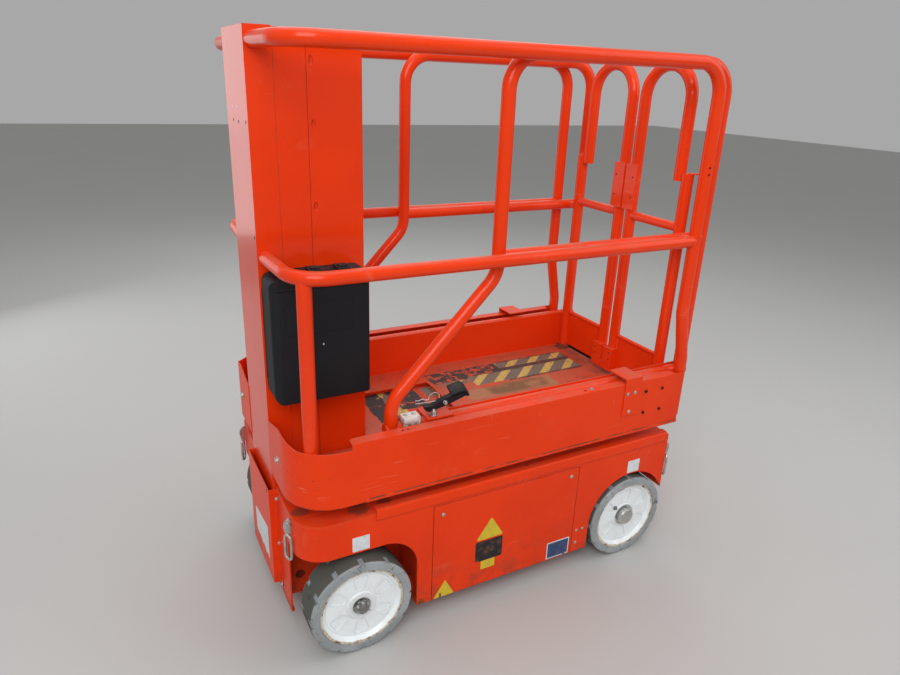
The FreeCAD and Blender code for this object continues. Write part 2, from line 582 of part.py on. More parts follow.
def make_doors():
    for side_name, side in SIDES:
        panel = box("door_panel_" + side_name, ("door_front", "door_rear"),
                    mirrored_span(side, "chassis_half_width - sheet + fit_gap", "chassis_half_width"),
                    ("chassis_bottom", "door_top"))
        eyes = []
        y = f"{side} * (chassis_half_width - hinge_radius)"
        for end, x in (("front", "door_front + hinge_inset"),
                       ("rear", "door_rear - hinge_inset - hinge_eye")):
            eyes.append(cylinder(f"door_eye_{end}_{side_name}", "x", x, y, "hinge_z", "hinge_radius",
                                 "hinge_eye"))
        cuts = [cylinder(f"door_bore_{side_name}", "x", "door_front", y, "hinge_z",
                         "hinge_rod + running_gap", "door_rear - door_front")]
        cuts += [box(f"lug_way_{end}_{side_name}", (f"{x} - lug_gap", f"{x} + sheet + lug_gap"),
                     mirrored_span(side, "chassis_half_width - sheet", "chassis_half_width + 1"),
                     ("chassis_bottom - 1", "hinge_z + hinge_rod * 1.2 + lug_gap"))
                 for end, x in HINGE_LUGS]
        keep(cut("side_door_" + side_name, fuse("door_body_" + side_name, [panel] + eyes), cuts),
             "side_door_" + side_name)


def make_front_pan():
    outside = box("pan_outside", ("pan_front", "chassis_front"), ("-(pan_half_width)", "pan_half_width"),
                  ("pan_low", "pan_top"))
    inside = box("pan_inside", ("pan_front + pan_wall", "chassis_front + 1"),
                 ("-(pan_half_width - pan_wall)", "pan_half_width - pan_wall"),
                 ("pan_low + pan_wall", "pan_top + 1"))
    tabs = [box("pan_tab_" + side_name, ("chassis_front - pan_wall", "chassis_front"),
                mirrored_span(side, "pan_half_width - pan_wall", "pan_half_width + pan_tab"),
                ("pan_low", "pan_top"))
            for side_name, side in SIDES]
    keep(fuse("front_pan", [cut("pan_tray", outside, [inside])] + tabs), "front_pan")


def stadium(x, y, top, length, half_width):
    """The centre line of a long chain link that hangs in a plane across the machine."""
    low = top - length + half_width
    high = top - half_width
    corners = [Vector(x, y - half_width, low), Vector(x, y - half_width, high),
               Vector(x, y + half_width, high), Vector(x, y + half_width, low)]
    over = Part.Arc(corners[1], Vector(x, y, high + half_width), corners[2])
    under = Part.Arc(corners[3], Vector(x, y, low - half_width), corners[0])
    sides = (Part.LineSegment(corners[0], corners[1]), Part.LineSegment(corners[2], corners[3]))
    return [sides[0].toShape(), over.toShape(), sides[1].toShape(), under.toShape()], corners[0]


def make_tie_downs():
    links = []
    for end, face, outward, y in (("front", "chassis_front", -1, s.tie_front_y),
                                  ("rear", "chassis_rear", 1, s.tie_rear_y)):
        for side_name, side in SIDES:
            name = f"{end}_{side_name}"
            face_x = s.chassis_front if end == "front" else s.chassis_rear
            x = face_x + outward * s.eye_reach / 2
            edges, start = stadium(x, side * y, s.tie_z, s.tie_length, s.tie_half_width)
            path = add("Part::Feature", "tie_path_" + name)
            path.Shape = Part.Wire(edges)
            section = add("Part::Circle", "tie_section_" + name)
            section.setExpression("Radius", formula("tie_wire"))
            section.Placement = Placement(start, Rotation())
            ring = add("Part::Sweep", "tie_ring_" + name)
            ring.Sections = [section]
            ring.Spine = (path, ["Edge1", "Edge2", "Edge3", "Edge4"])
            ring.Solid = True
            reach = (face, f"{face} + eye_reach") if outward > 0 else (f"{face} - eye_reach", face)
            eye = box("tie_eye_" + name, reach,
                      mirrored_span(side, f"tie_{end}_y - eye_thick / 2", f"tie_{end}_y + eye_thick / 2"),
                      ("tie_z - tie_wire - eye_height / 2", "tie_z - tie_wire + eye_height / 2"))
            tip = rounded("tie_eye_round_" + name, eye, s.eye_height / 3,
                          lambda edge, tip_x=face_x + outward * s.eye_reach: edge.BoundBox.YLength > 1
                          and abs(edge.BoundBox.XMin - tip_x) < 1 and edge.BoundBox.ZLength < CLOSE)
            links.append(fuse("tie_" + name, [ring, tip]))
    keep(fuse("tie_downs", links), "tie_downs")


def channel(name, front, rear, half_width, low, high, wall, open_front):
    """An upright channel: a web and two flanges, open at the front or at the rear."""
    outside = box(name + "_outside", (front, rear), (f"-({half_width})", half_width), (low, high))
    inside_x = (f"{front} - 1", f"{rear} - {wall}") if open_front else (f"{front} + {wall}", f"{rear} + 1")
    inside = box(name + "_inside", inside_x, (f"-({half_width} - {wall})", f"{half_width} - {wall}"),
                 (f"{low} - 1", f"{high} + 1"))
    return cut(name + "_channel", outside, [inside])


def make_mast():
    seam_one = "mast_front + carriage_depth"
    seam_two = "mast_front + carriage_depth + outer_depth"
    inner_half = "mast_half_width - mast_wall - guide_gap"
    base = channel("mast_base", f"{seam_two} + seam_gap / 2", "mast_rear",
                   "mast_half_width + base_proud", "mast_foot", "mast_top - mast_wall", "mast_wall", True)
    keep(base, "mast_base")

    middle_x = (f"{seam_one} + mast_wall + guide_gap", "mast_rear - mast_wall - guide_gap")
    tall = ("mast_foot + foot_gap", "mast_top - mast_wall * 2")
    middle_out = box("mast_middle_outside", middle_x, (f"-({inner_half})", inner_half), tall)
    middle_in = box("mast_middle_inside", (middle_x[0] + " + mast_wall", middle_x[1] + " - mast_wall"),
                    (f"-({inner_half} - mast_wall)", f"{inner_half} - mast_wall"),
                    ("mast_foot + foot_gap - 1", "mast_top - mast_wall * 3"))
    pads = []
    for number, (low, span, reach) in enumerate((
            ("mast_top - mast_wall * 2 - guide_height",
             (f"{seam_two} + guide_gap", "mast_rear - mast_wall * 4"),
             "mast_half_width + base_proud - mast_wall - fit_gap"),
            ("mast_foot + foot_gap", (f"{seam_one} + mast_wall * 4", f"{seam_two} - guide_gap"),
             "mast_half_width - mast_wall - fit_gap"))):
        pads.append(box(f"mast_pad_{number}", span, (f"-({reach})", reach), (low, f"{low} + guide_height")))
    hollow = cut("mast_middle_tube", fuse("mast_middle_body", [middle_out] + pads), [middle_in])
    keep(hollow, "mast_middle")

    outer = channel("mast_outer", f"{seam_one} + seam_gap / 2", f"{seam_two} - seam_gap / 2",
                    "mast_half_width", "mast_foot + foot_gap", "mast_top - mast_wall / 2", "mast_wall", False)
    outer_cap = box("mast_outer_cap", (f"{seam_one} + seam_gap / 2", f"{seam_two} - seam_gap / 2"),
                    ("-(mast_half_width)", "mast_half_width"),
                    ("mast_top - mast_wall * 1.5", "mast_top - mast_wall / 2"))
    keep(fuse("mast_outer", [outer, outer_cap]), "mast_outer")

    front = channel("mast_carriage", "mast_front", f"{seam_one} - seam_gap / 2", "mast_half_width",
                    "mast_foot + foot_gap", "mast_top", "mast_wall", False)
    cap = box("mast_carriage_cap", ("mast_front", f"{seam_one} - seam_gap / 2"),
              ("-(mast_half_width)", "mast_half_width"), ("mast_top - mast_wall", "mast_top"))
    guides = [box(f"carriage_guide_{number}",
                  ("mast_front + mast_wall / 2", f"{seam_one} + seam_gap / 2 - fit_gap"),
                  ("-(mast_half_width / 2)", "mast_half_width / 2"), (low, f"{low} + guide_height"))
              for number, low in enumerate(("mast_foot + foot_gap", "mast_top - mast_wall - guide_height"))]
    keep(fuse("mast_carriage", [front, cap] + guides), "mast_carriage")


def make_platform():
    def ring(name, inset, low, high):
        return corner_arc(name, f"skirt_front + {inset}", "skirt_rear", f"skirt_half_width - {inset}",
                          s.skirt_bend - (s.skirt_wall if inset != "0" else 0), low, high)

    low, high = "skirt_bottom", "ear_top"
    inside = ring("skirt_in", "skirt_wall", f"{low} - 1", f"{high} + 1")
    cuts = [
        inside,
        box("skirt_rear_way", ("skirt_rear - cut_room * 3", "skirt_rear + 1"),
            ("-(skirt_half_width - skirt_wall)", "skirt_half_width - skirt_wall"),
            (f"{low} - 1", f"{high} + 1")),
        box("skirt_mast_way", ("mast_front - cut_room", "mast_front + cut_room"),
            ("-(mast_half_width)", "mast_half_width"), (f"{low} - 1", f"{high} + 1")),
        box("skirt_drop", ("flange_front", "skirt_rear + 1"),
            ("-(skirt_half_width + 1)", "skirt_half_width + 1"), ("skirt_side_top", f"{high} + 1")),
    ]
    pieces = []
    for side_name, side in SIDES:
        slope = profile_bar("skirt_slope_" + side_name, side, (
            ("mast_half_width - 1", "ear_root"), ("ear_crest_y", "ear_top"),
            ("ear_foot_y", "skirt_front_top"), ("skirt_half_width + 1", "skirt_front_top"),
            ("skirt_half_width + 1", "ear_top + cut_room"),
            ("mast_half_width - 1", "ear_top + cut_room")), "skirt_front - 1", "flange_front + overlap")
        cuts.append(rounded("skirt_curve_" + side_name, slope, s.ear_bend,
                            lambda edge, side=side: edge.BoundBox.XLength > 1
                            and s.ear_crest_y - 1 < side * edge.BoundBox.Center.y < s.ear_foot_y + 1))
        for column in (0, 1):
            for row in (0, 1):
                cuts.append(across(f"bolt_hole_{column}{row}_{side_name}", side,
                                   f"bolt_hole_x + bolt_pitch_x * {column}",
                                   "skirt_half_width - skirt_wall - 1", "skirt_half_width + 1",
                                   f"bolt_hole_z + bolt_pitch_z * {row}", "bolt_hole"))
        flange = box("flange_bar_" + side_name, ("flange_front", "flange_rear"),
                     mirrored_span(side, "skirt_half_width - flange_width",
                                   "skirt_half_width - skirt_wall / 2"),
                     ("skirt_side_top - skirt_wall", "skirt_side_top"))
        pieces += [
            rounded("skirt_flange_" + side_name, flange, s.flange_round,
                    lambda edge, side=side: edge.BoundBox.ZLength > 1
                    and side * edge.BoundBox.Center.y < s.skirt_half_width - s.flange_width + 1),
            box("skirt_roll_" + side_name, ("roll_front", "skirt_rear"),
                mirrored_span(side, "skirt_half_width - skirt_wall / 2", "skirt_half_width + skirt_roll"),
                ("skirt_bottom", "skirt_bottom + roll_height")),
        ]
    band = cut("skirt_band", ring("skirt_out", "0", low, high), cuts)
    keep(fuse("platform_skirt", [band] + pieces), "platform_skirt")

    plate = corner_arc("floor_blank", "skirt_front + skirt_wall + fit_gap", "skirt_rear",
                       "skirt_half_width - skirt_wall - fit_gap", s.skirt_bend - s.skirt_wall - s.fit_gap,
                       "floor_top - floor_thick", "floor_top")
    slot_half = "mast_half_width + base_proud + floor_slot_gap"
    slot = box("floor_slot", ("skirt_front - 1", "mast_rear + floor_slot_gap"),
               (f"-({slot_half})", slot_half), ("floor_top - floor_thick - 1", "floor_top + 1"))
    keep(cut("platform_floor", plate, [slot]), "platform_floor")


def make_side_rails():
    mast_way = box("rail_mast_way", ("mast_front - tube_radius", "mast_rear"),
                   ("-(mast_half_width)", "mast_half_width"), ("mid_rail_z - tube_radius * 2", "mast_top"))
    bend_in = 1 - math.sqrt(0.5)
    for side_name, side in SIDES:
        y = side * s.rail_y
        start_y = side * (s.mast_half_width - s.rail_lap)
        top = tube("top_rail_" + side_name, (
            (s.rail_start_x, start_y, s.top_rail_z), (s.rail_corner_x, y, s.top_rail_z),
            (s.rear_post_x, y, s.top_rail_z), (s.rear_post_x, y, s.kink_top),
            (s.rear_foot_x, y, s.kink_low), (s.rear_foot_x, y, s.floor_top)))
        middle = tube("mid_rail_" + side_name, (
            (s.rail_start_x, start_y, s.mid_rail_z), (s.rail_corner_x, y, s.mid_rail_z),
            (s.rear_post_x, y, s.mid_rail_z)), radius="mid_tube_radius")
        post = cylinder("corner_post_" + side_name, "z", f"rail_corner_x + rail_bend * {bend_in}",
                        f"{side} * (rail_y - rail_bend * {bend_in})", "floor_top", "tube_radius",
                        "mid_rail_z - floor_top")
        rails = cut("coped_rails_" + side_name, fuse("rails_" + side_name, [top, middle]), [mast_way])
        keep(fuse("side_rail_" + side_name, [rails, post]), "side_rail_" + side_name)


def make_extension():
    for side_name, side in SIDES:
        y = side * s.slider_y
        frame = tube("slider_frame_" + side_name, (
            (s.end_post_x, y, s.slider_z), (s.end_post_x, y, s.top_rail_z), (s.leg_x, y, s.top_rail_z),
            (s.leg_x, y, s.leg_knee_z), (s.leg_foot_x, y, s.leg_foot_z), (s.leg_foot_x, y, s.slider_z)))
        slide = cylinder("slide_tube_" + side_name, "x", "leg_foot_x - tube_radius", f"{side} * slider_y",
                         "slider_z", "slide_radius", "end_post_x - leg_foot_x + tube_radius * 2")
        rail = cylinder("inner_rail_" + side_name, "x", "leg_x", f"{side} * slider_y", "inner_rail_z",
                        "mid_tube_radius", "end_post_x - leg_x")
        bracket = strap("hinge_bracket_" + side_name, (
            (s.gate_x, side * s.hinge_y, s.hinge_top + s.fit_gap + s.bracket_thick / 2),
            (s.end_post_x, y, s.hinge_top + s.fit_gap + s.bracket_thick / 2)),
            s.bracket_width, s.bracket_thick)
        pin = cylinder("hinge_pin_" + side_name, "z", "gate_x", f"{side} * hinge_y",
                       "hinge_top + fit_gap - pin_length", "pin_radius", "pin_length + 1")
        keep(fuse("extension_frame_" + side_name, [frame, slide, rail, bracket, pin]),
             "extension_frame_" + side_name)

    deck = box("deck_sheet", ("deck_front", "deck_rear"), ("-(deck_wall_y)", "deck_wall_y"),
               ("deck_top - deck_thick", "deck_top"))
    notch = box("deck_notch", ("deck_front - 1", "notch_rear"), ("-(notch_half_width)", "notch_half_width"),
                ("deck_top - deck_thick - 1", "deck_top + 1"))
    walls = [box("deck_wall_" + side_name, ("deck_front", "end_post_x"),
                 mirrored_span(side, "deck_wall_y - deck_wall / 2", "deck_wall_y + deck_wall / 2"),
                 ("deck_top - deck_thick", "slider_z + tube_radius"))
             for side_name, side in SIDES]
    walls += [box("deck_skid_" + side_name, ("deck_front", "skid_rear"),
                  mirrored_span(side, "notch_half_width + deck_wall * 4", "notch_half_width + skid_width"),
                  ("floor_top + fit_gap", "deck_top - deck_thick")) for side_name, side in SIDES]
    collars = []
    bores = []
    for side_name, side in SIDES:
        collars.append(cylinder("gate_collar_" + side_name, "z", "gate_x", f"{side} * hinge_y",
                                "deck_top - 1", "collar_radius", "collar_height + 1"))
        bores.append(cylinder("collar_bore_" + side_name, "z", "gate_x", f"{side} * hinge_y",
                              "deck_top", "tube_radius + running_gap", "collar_height + 1"))
    plate = cut("deck_plate", deck, [notch])
    keep(cut("extension_deck", fuse("deck_body", [plate] + walls + collars), bores), "extension_deck")

    shoes = []
    for side_name, side in SIDES:
        block = box("shoe_block_" + side_name, ("shoe_front", "shoe_front + shoe_length"),
                    mirrored_span(side, "slider_y - shoe_inner", "slider_y + shoe_side"),
                    ("slider_z", "shoe_top"))
        bore = cylinder("shoe_bore_" + side_name, "x", "shoe_front - 1", f"{side} * slider_y", "slider_z",
                        "slide_radius + fit_gap", "shoe_length + 2")
        shoes.append(cut("slide_shoe_" + side_name, block, [bore]))
    keep(fuse("slide_shoes", shoes), "slide_shoes")


def make_lock():
    plate_top = "slider_z + slide_radius + fit_gap + lock_plate_thick"
    plate = box("lock_plate", ("lock_plate_front", "lock_plate_front + lock_plate_length"),
                mirrored_span(-1, "slider_y - lock_plate_side - shoe_side / 2", "slider_y + lock_plate_side"),
                ("slider_z + slide_radius + fit_gap", plate_top))
    keep(plate, "lock_plate")
    pivot = cylinder("lock_pivot", "z", "pivot_x", "-(slider_y)", plate_top, "pivot_radius",
                     "pivot_height + lever_thick")
    y = -s.slider_y
    flat_z = s.slider_z + s.slide_radius + s.fit_gap + s.lock_plate_thick + s.pivot_height
    lever = strap("lock_strap", (
        (s.pivot_x - s.lever_tail, y, flat_z), (s.pivot_x + s.lever_flat, y, flat_z),
        (s.pivot_x + s.lever_reach, y, flat_z + s.lever_climb),
        (s.pivot_x + s.lever_reach - s.lever_curl / 2, y, flat_z + s.lever_crest),
        (s.pivot_x + s.lever_reach - s.lever_curl * 1.8, y, flat_z + s.lever_crest - s.lever_thick)),
        s.lever_width, s.lever_thick, s.lever_bend)
    keep(fuse("lock_lever", [pivot, lever]), "lock_lever")


def make_hooks():
    hooks = []
    for side_name, side in SIDES:
        x = ("hook_front", "hook_front + hook_length")
        outer = "skirt_half_width + hook_wall"
        hooks += [
            box("hook_plate_" + side_name, x, mirrored_span(side, "skirt_half_width", outer),
                ("hook_low", "hook_top")),
            box("hook_cover_" + side_name, x, mirrored_span(side, f"{outer} - hook_reach", outer),
                ("hook_top - hook_wall", "hook_top")),
        ]
    keep(fuse("keeper_hooks", hooks), "keeper_hooks")


def make_gates():
    for side_name, side in SIDES:
        leg, short = side * s.gate_leg_y, side * s.arch_leg_y
        arch = tube("gate_arch_" + side_name, (
            (s.gate_x, leg, s.gate_foot), (s.gate_x, leg, s.gate_top), (s.gate_x, short, s.gate_top),
            (s.gate_x, short, s.arch_leg_end)), bend=(s.arch_leg_y - s.gate_leg_y) / 2 - 1)
        post = cylinder("gate_post_" + side_name, "z", "gate_x", f"{side} * hinge_y", "deck_top + fit_gap",
                        "tube_radius", "hinge_top - deck_top - fit_gap")
        rail = across("gate_rail_" + side_name, side, "gate_x", "gate_leg_y", "hinge_y", "gate_rail_z",
                      "tube_radius * 0.8")
        stop = box("gate_stop_" + side_name,
                   ("gate_x - tube_radius - stop_wall", "gate_x - tube_radius * 0.8"),
                   mirrored_span(side, "gate_leg_y - stop_width / 2 + fit_gap",
                                 "gate_leg_y + stop_width / 2"),
                   ("stop_low", "stop_low + stop_height"))
        cup = box("foot_stop_" + side_name, ("gate_x - tube_radius - stop_wall * 2", "gate_x"),
                  mirrored_span(side, "gate_leg_y - tube_radius - stop_wall",
                                "gate_leg_y + tube_radius + stop_wall"),
                  ("foot_stop_low", "foot_stop_low + foot_stop_height"))
        bore = cylinder("gate_bore_" + side_name, "z", "gate_x", f"{side} * hinge_y",
                        "hinge_top - pin_length - 2", "pin_radius + running_gap", "pin_length + 3")
        open_end = cylinder("gate_open_end_" + side_name, "z", "gate_x", f"{side} * arch_leg_y",
                            "arch_leg_end - 1", "tube_radius - tube_wall", "pin_length + 1")
        body = fuse("gate_body_" + side_name, [arch, post, rail, stop, cup])
        keep(cut("gate_" + side_name, body, [bore, open_end]), "gate_" + side_name)

        sheet_y = mirrored_span(side, "gate_leg_y + tube_radius + stop_wall + fit_gap",
                                "hinge_y - tube_radius - fit_gap")
        toe = box("toe_sheet_" + side_name, ("gate_x - toe_wall / 2", "gate_x + toe_wall / 2"), sheet_y,
                  ("toe_low", "toe_top"))
        lip = across("toe_lip_" + side_name, side, "gate_x", "gate_leg_y + tube_radius + stop_wall + fit_gap",
                     "hinge_y - tube_radius - fit_gap", "toe_top", "toe_lip")
        keep(fuse("toe_board_" + side_name, [toe, lip]), "toe_board_" + side_name)


def make_document_box():
    back = "-(mast_half_width + case_standoff)"
    front = "-(mast_half_width + case_standoff + case_depth)"
    block = box("case_block", ("case_front", "case_front + case_length"), (front, back),
                ("case_low", "case_low + case_height"))
    face_y = -s.mast_half_width - s.case_standoff - s.case_depth
    body = rounded("case_body", block, s.case_round,
                   lambda edge: edge.BoundBox.XMax < s.case_front + 1
                   and (edge.BoundBox.YLength > 1 or edge.BoundBox.YMax < face_y + 1))
    shell = rounded("case_shell", body, s.case_edge,
                    lambda edge: edge.BoundBox.XMin > s.case_front + s.case_length - 1
                    and (edge.BoundBox.YLength > 1 or edge.BoundBox.YMax < face_y + 1))
    foot = box("case_bracket", ("mast_front + mast_wall", "mast_front + carriage_depth - guide_gap"),
               (f"{back} - 1", "-(mast_half_width)"),
               ("case_low + case_round * 2", "case_low + case_height - case_round * 2"))
    keep(fuse("document_box", [shell, foot]), "document_box")


make_wheels()
make_axles()
make_chassis()
make_doors()
make_front_pan()
make_tie_downs()
make_mast()
make_platform()
make_side_rails()
make_extension()
make_lock()
make_hooks()
make_gates()
make_document_box()
doc.recompute()

for item in doc.Objects:
    if {"Invalid", "Error"} & set(item.State):
        raise RuntimeError(f"{item.Label} failed: {item.State}")
for piece in kept:
    if piece.Shape.isNull() or not piece.Shape.isValid():
        raise RuntimeError(f"{piece.Label} has no valid shape")

os.makedirs("parts", exist_ok=True)
for piece in kept:
    piece.Shape.exportStep(f"parts/{piece.Label}.step")
    print(piece.Label, len(piece.Shape.Solids), round(piece.Shape.Volume / 1000), "cm3")
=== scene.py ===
import json
import math

import bmesh
import bpy
from mathutils import Matrix, Vector


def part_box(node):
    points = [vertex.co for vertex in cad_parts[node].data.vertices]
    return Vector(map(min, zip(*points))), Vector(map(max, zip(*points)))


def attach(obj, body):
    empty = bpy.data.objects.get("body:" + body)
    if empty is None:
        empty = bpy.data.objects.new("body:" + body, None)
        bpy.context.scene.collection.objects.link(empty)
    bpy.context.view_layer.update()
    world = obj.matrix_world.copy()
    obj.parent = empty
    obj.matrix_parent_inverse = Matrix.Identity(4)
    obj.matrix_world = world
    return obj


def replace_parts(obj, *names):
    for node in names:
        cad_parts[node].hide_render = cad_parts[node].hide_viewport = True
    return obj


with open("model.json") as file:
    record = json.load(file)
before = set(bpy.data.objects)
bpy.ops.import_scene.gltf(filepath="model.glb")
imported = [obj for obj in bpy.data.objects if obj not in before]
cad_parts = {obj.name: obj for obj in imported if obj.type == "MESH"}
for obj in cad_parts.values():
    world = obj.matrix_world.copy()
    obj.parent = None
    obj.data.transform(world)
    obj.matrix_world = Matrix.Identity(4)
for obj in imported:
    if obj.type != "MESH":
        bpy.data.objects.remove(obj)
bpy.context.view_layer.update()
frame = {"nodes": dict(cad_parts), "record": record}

# The camera that was fitted to the photograph, in metres, degrees and pixels.
CAMERA_AT = Vector((-1.0372, -1.817, 1.5581))
CAMERA_YAW = math.radians(28.59)
CAMERA_PITCH = math.radians(-21.07)
CAMERA_ROLL = math.radians(2.24)
FOCAL_PIXELS = 675.1
IMAGE_WIDTH = 900
SENSOR_WIDTH = 36.0

# Colours are linear.
ORANGE = (0.84, 0.046, 0.003)
ORANGE_DEEP = (0.7, 0.031, 0.002)
ORANGE_PALE = (0.86, 0.2, 0.11)
WORN_ORANGE = (0.5, 0.095, 0.045)
DUST = (0.4, 0.17, 0.11)
GRIME = (0.1, 0.055, 0.035)
RUST = (0.19, 0.062, 0.018)
OIL_STAIN = (0.17, 0.085, 0.03)
OIL_STAIN_PALE = (0.36, 0.21, 0.1)
WHITE_PAINT = (0.86, 0.91, 0.92)
CREAM = (0.66, 0.56, 0.42)
RUBBER = (0.29, 0.31, 0.32)
RUBBER_PALE = (0.4, 0.43, 0.45)
RUBBER_TREAD = (0.09, 0.092, 0.08)
BLACK = (0.006, 0.0065, 0.009)
TAPE_YELLOW = (0.62, 0.46, 0.13)
TAPE_GREY = (0.19, 0.165, 0.125)
TAPE_BLACK = (0.055, 0.048, 0.05)
ZINC = (0.62, 0.62, 0.6)
STEEL = (0.32, 0.32, 0.32)
NYLON = (0.72, 0.7, 0.66)
LABEL_WHITE = (0.7, 0.76, 0.8)
LABEL_YELLOW = (0.66, 0.5, 0.02)
LABEL_BLUE = (0.014, 0.056, 0.152)
# Painted shade along the rims' pressed edges.
EDGE_SHADE_GREY = (0.3, 0.31, 0.31)
SMEAR_BLACK = (0.03, 0.03, 0.03)
DUST_GREY = (0.1, 0.09, 0.085)
CASE_BLACK = (0.02, 0.02, 0.022)
# Painted shade inside holes, drawn as flat black discs.
HOLE_SHADE_BLACK = (0.004, 0.003, 0.003)
FLOOR_GREY = (0.5, 0.5, 0.49)
FLOOR_PATCH = (0.44, 0.44, 0.43)

SIDES = (("near", -1), ("far", 1))
COAT_ROUGHNESS = 0.12


def beside(side, inner, outer):
    """The span in Y between two distances from the middle plane, on one side."""
    return tuple(sorted((side * inner, side * outer)))


class Finish:
    """A material, with short calls for the nodes that the finishes share."""

    def __init__(self, name, colour, roughness, metallic=0.0, coat=0.0, specular=0.3):
        self.material = bpy.data.materials.new(name)
        self.material.use_nodes = True
        self.tree = self.material.node_tree
        self.shader = self.tree.nodes["Principled BSDF"]
        self.shader.inputs["Metallic"].default_value = metallic
        self.shader.inputs["Coat Weight"].default_value = coat
        self.shader.inputs["Coat Roughness"].default_value = COAT_ROUGHNESS
        self.shader.inputs["Specular IOR Level"].default_value = specular
        self.colour = colour
        self.roughness = roughness
        self.place = self.node("ShaderNodeTexCoord").outputs["Object"]
        self.normal = self.node("ShaderNodeNewGeometry").outputs["Normal"]
        self.surface = None

    def node(self, kind, **settings):
        made = self.tree.nodes.new(kind)
        for name, value in settings.items():
            setattr(made, name, value)
        return made

    def plug(self, socket, value):
        """Links an output to a socket, or sets the socket's own value."""
        if isinstance(value, bpy.types.NodeSocket):
            self.tree.links.new(value, socket)
        elif isinstance(value, tuple) and len(socket.default_value) == 4:
            socket.default_value = (*value, 1.0)
        else:
            socket.default_value = value

    def maths(self, operation, first, second=0.0, third=0.0):
        made = self.node("ShaderNodeMath", operation=operation)
        for socket, value in zip(made.inputs, (first, second, third)):
            self.plug(socket, value)
        return made.outputs[0]

    def both(self, *shares):
        """The product of several shares."""
        product = shares[0]
        for share in shares[1:]:
            product = self.maths("MULTIPLY", product, share)
        return product

    def axis(self, letter, source=None):
        made = self.node("ShaderNodeSeparateXYZ")
        self.plug(made.inputs[0], source or self.place)
        return made.outputs[letter]

    def moved(self, scale, turn):
        made = self.node("ShaderNodeMapping")
        self.plug(made.inputs["Vector"], self.place)
        made.inputs["Rotation"].default_value = turn
        made.inputs["Scale"].default_value = scale
        return made.outputs[0]

    def noise(self, scale, detail=3.0, rough=0.55, at=None, bent=0.0):
        made = self.node("ShaderNodeTexNoise")
        self.plug(made.inputs["Vector"], at or self.place)
        made.inputs["Scale"].default_value = scale
        made.inputs["Detail"].default_value = detail
        made.inputs["Roughness"].default_value = rough
        made.inputs["Distortion"].default_value = bent
        return made.outputs[0]

    def ramp(self, value, low, high):
        """A smooth share from 0 at low to 1 at high."""
        made = self.node("ShaderNodeMapRange", interpolation_type="SMOOTHSTEP", clamp=True)
        self.plug(made.inputs["Value"], value)
        rising = low < high
        made.inputs["From Min"].default_value = min(low, high)
        made.inputs["From Max"].default_value = max(low, high)
        made.inputs["To Min"].default_value = 0.0 if rising else 1.0
        made.inputs["To Max"].default_value = 1.0 if rising else 0.0
        return made.outputs[0]

    def spots(self, scale, low, high, *detail, **shape):
        """A share that rises from 0 to 1 as noise of a scale goes from low to high."""
        return self.ramp(self.noise(scale, *detail, **shape), low, high)

    def streaks(self, stretch, low, high, detail, rough=0.55, turn=(0.0, 0.0, 0.0)):
        """The same for noise that is stretched and turned, which makes long marks."""
        return self.ramp(self.noise(1.0, detail, rough, at=self.moved(stretch, turn)), low, high)

    def distance(self, **centre):
        """The distance from a centre, along the named axes."""
        squares = []
        for letter, at in centre.items():
            offset = self.maths("SUBTRACT", self.axis(letter), at)
            squares.append(self.maths("MULTIPLY", offset, offset))
        return self.maths("SQRT", self.maths("ADD", *squares))

    def inside(self, value, low, high, soft):
        """A share that is 1 between two values, with soft ends."""
        return self.both(self.ramp(value, low - soft, low + soft),
                         self.ramp(value, high + soft, high - soft))

    def patch(self, soft=0.001, wander=0.0, scale=30.0, **spans):
        """A share that is 1 inside a box of named spans, whose edges may wander."""
        drift = 0.0
        if wander:
            drift = self.maths("MULTIPLY_ADD", self.noise(scale, 4.0), wander * 2, -wander)
        shares = [self.inside(self.maths("ADD", self.axis(letter), drift), low, high, soft)
                  for letter, (low, high) in spans.items()]
        return self.both(*shares)

    def blend(self, share, below, above):
        made = self.node("ShaderNodeMix", data_type="RGBA")
        self.plug(made.inputs[0], share)
        self.plug(made.inputs[6], below)
        self.plug(made.inputs[7], above)
        return made.outputs[2]

    def mixed(self, share, below, above):
        made = self.node("ShaderNodeMix", data_type="FLOAT")
        self.plug(made.inputs[0], share)
        self.plug(made.inputs[2], below)
        self.plug(made.inputs[3], above)
        return made.outputs[0]

    def layer(self, share, colour, roughness=None):
        """Covers what is there by a share, or by the product of a tuple of shares."""
        if isinstance(share, tuple):
            share = self.both(*share)
        self.colour = self.blend(share, self.colour, colour)
        if roughness is not None:
            self.roughness = self.mixed(share, self.roughness, roughness)

    def up(self, low=0.6, high=0.95):
        """The share of a surface that faces up."""
        return self.ramp(self.axis("Z", self.normal), low, high)

    def edges(self, radius, low=0.03, high=0.25):
        """The share of a surface that lies on an outer or inner edge."""
        bevel = self.node("ShaderNodeBevel", samples=4)
        bevel.inputs["Radius"].default_value = radius
        dot = self.node("ShaderNodeVectorMath", operation="DOT_PRODUCT")
        self.plug(dot.inputs[0], bevel.outputs[0])
        self.plug(dot.inputs[1], self.normal)
        return self.ramp(self.maths("SUBTRACT", 1.0, dot.outputs["Value"]), low, high)

    def bump(self, height, distance, strength=0.6):
        made = self.node("ShaderNodeBump")
        made.inputs["Strength"].default_value = strength
        made.inputs["Distance"].default_value = distance
        self.plug(made.inputs["Height"], height)
        if self.surface is not None:
            self.plug(made.inputs["Normal"], self.surface)
        self.surface = made.outputs[0]

    def soften(self, radius):
        """Rounds the shading of sharp edges."""
        bevel = self.node("ShaderNodeBevel", samples=4)
        bevel.inputs["Radius"].default_value = radius
        self.surface = bevel.outputs[0]

    def done(self):
        self.plug(self.shader.inputs["Base Color"], self.colour)
        self.plug(self.shader.inputs["Roughness"], self.roughness)
        if self.surface is not None:
            self.plug(self.shader.inputs["Normal"], self.surface)
        return self.material


# Finishes of the painted metal.


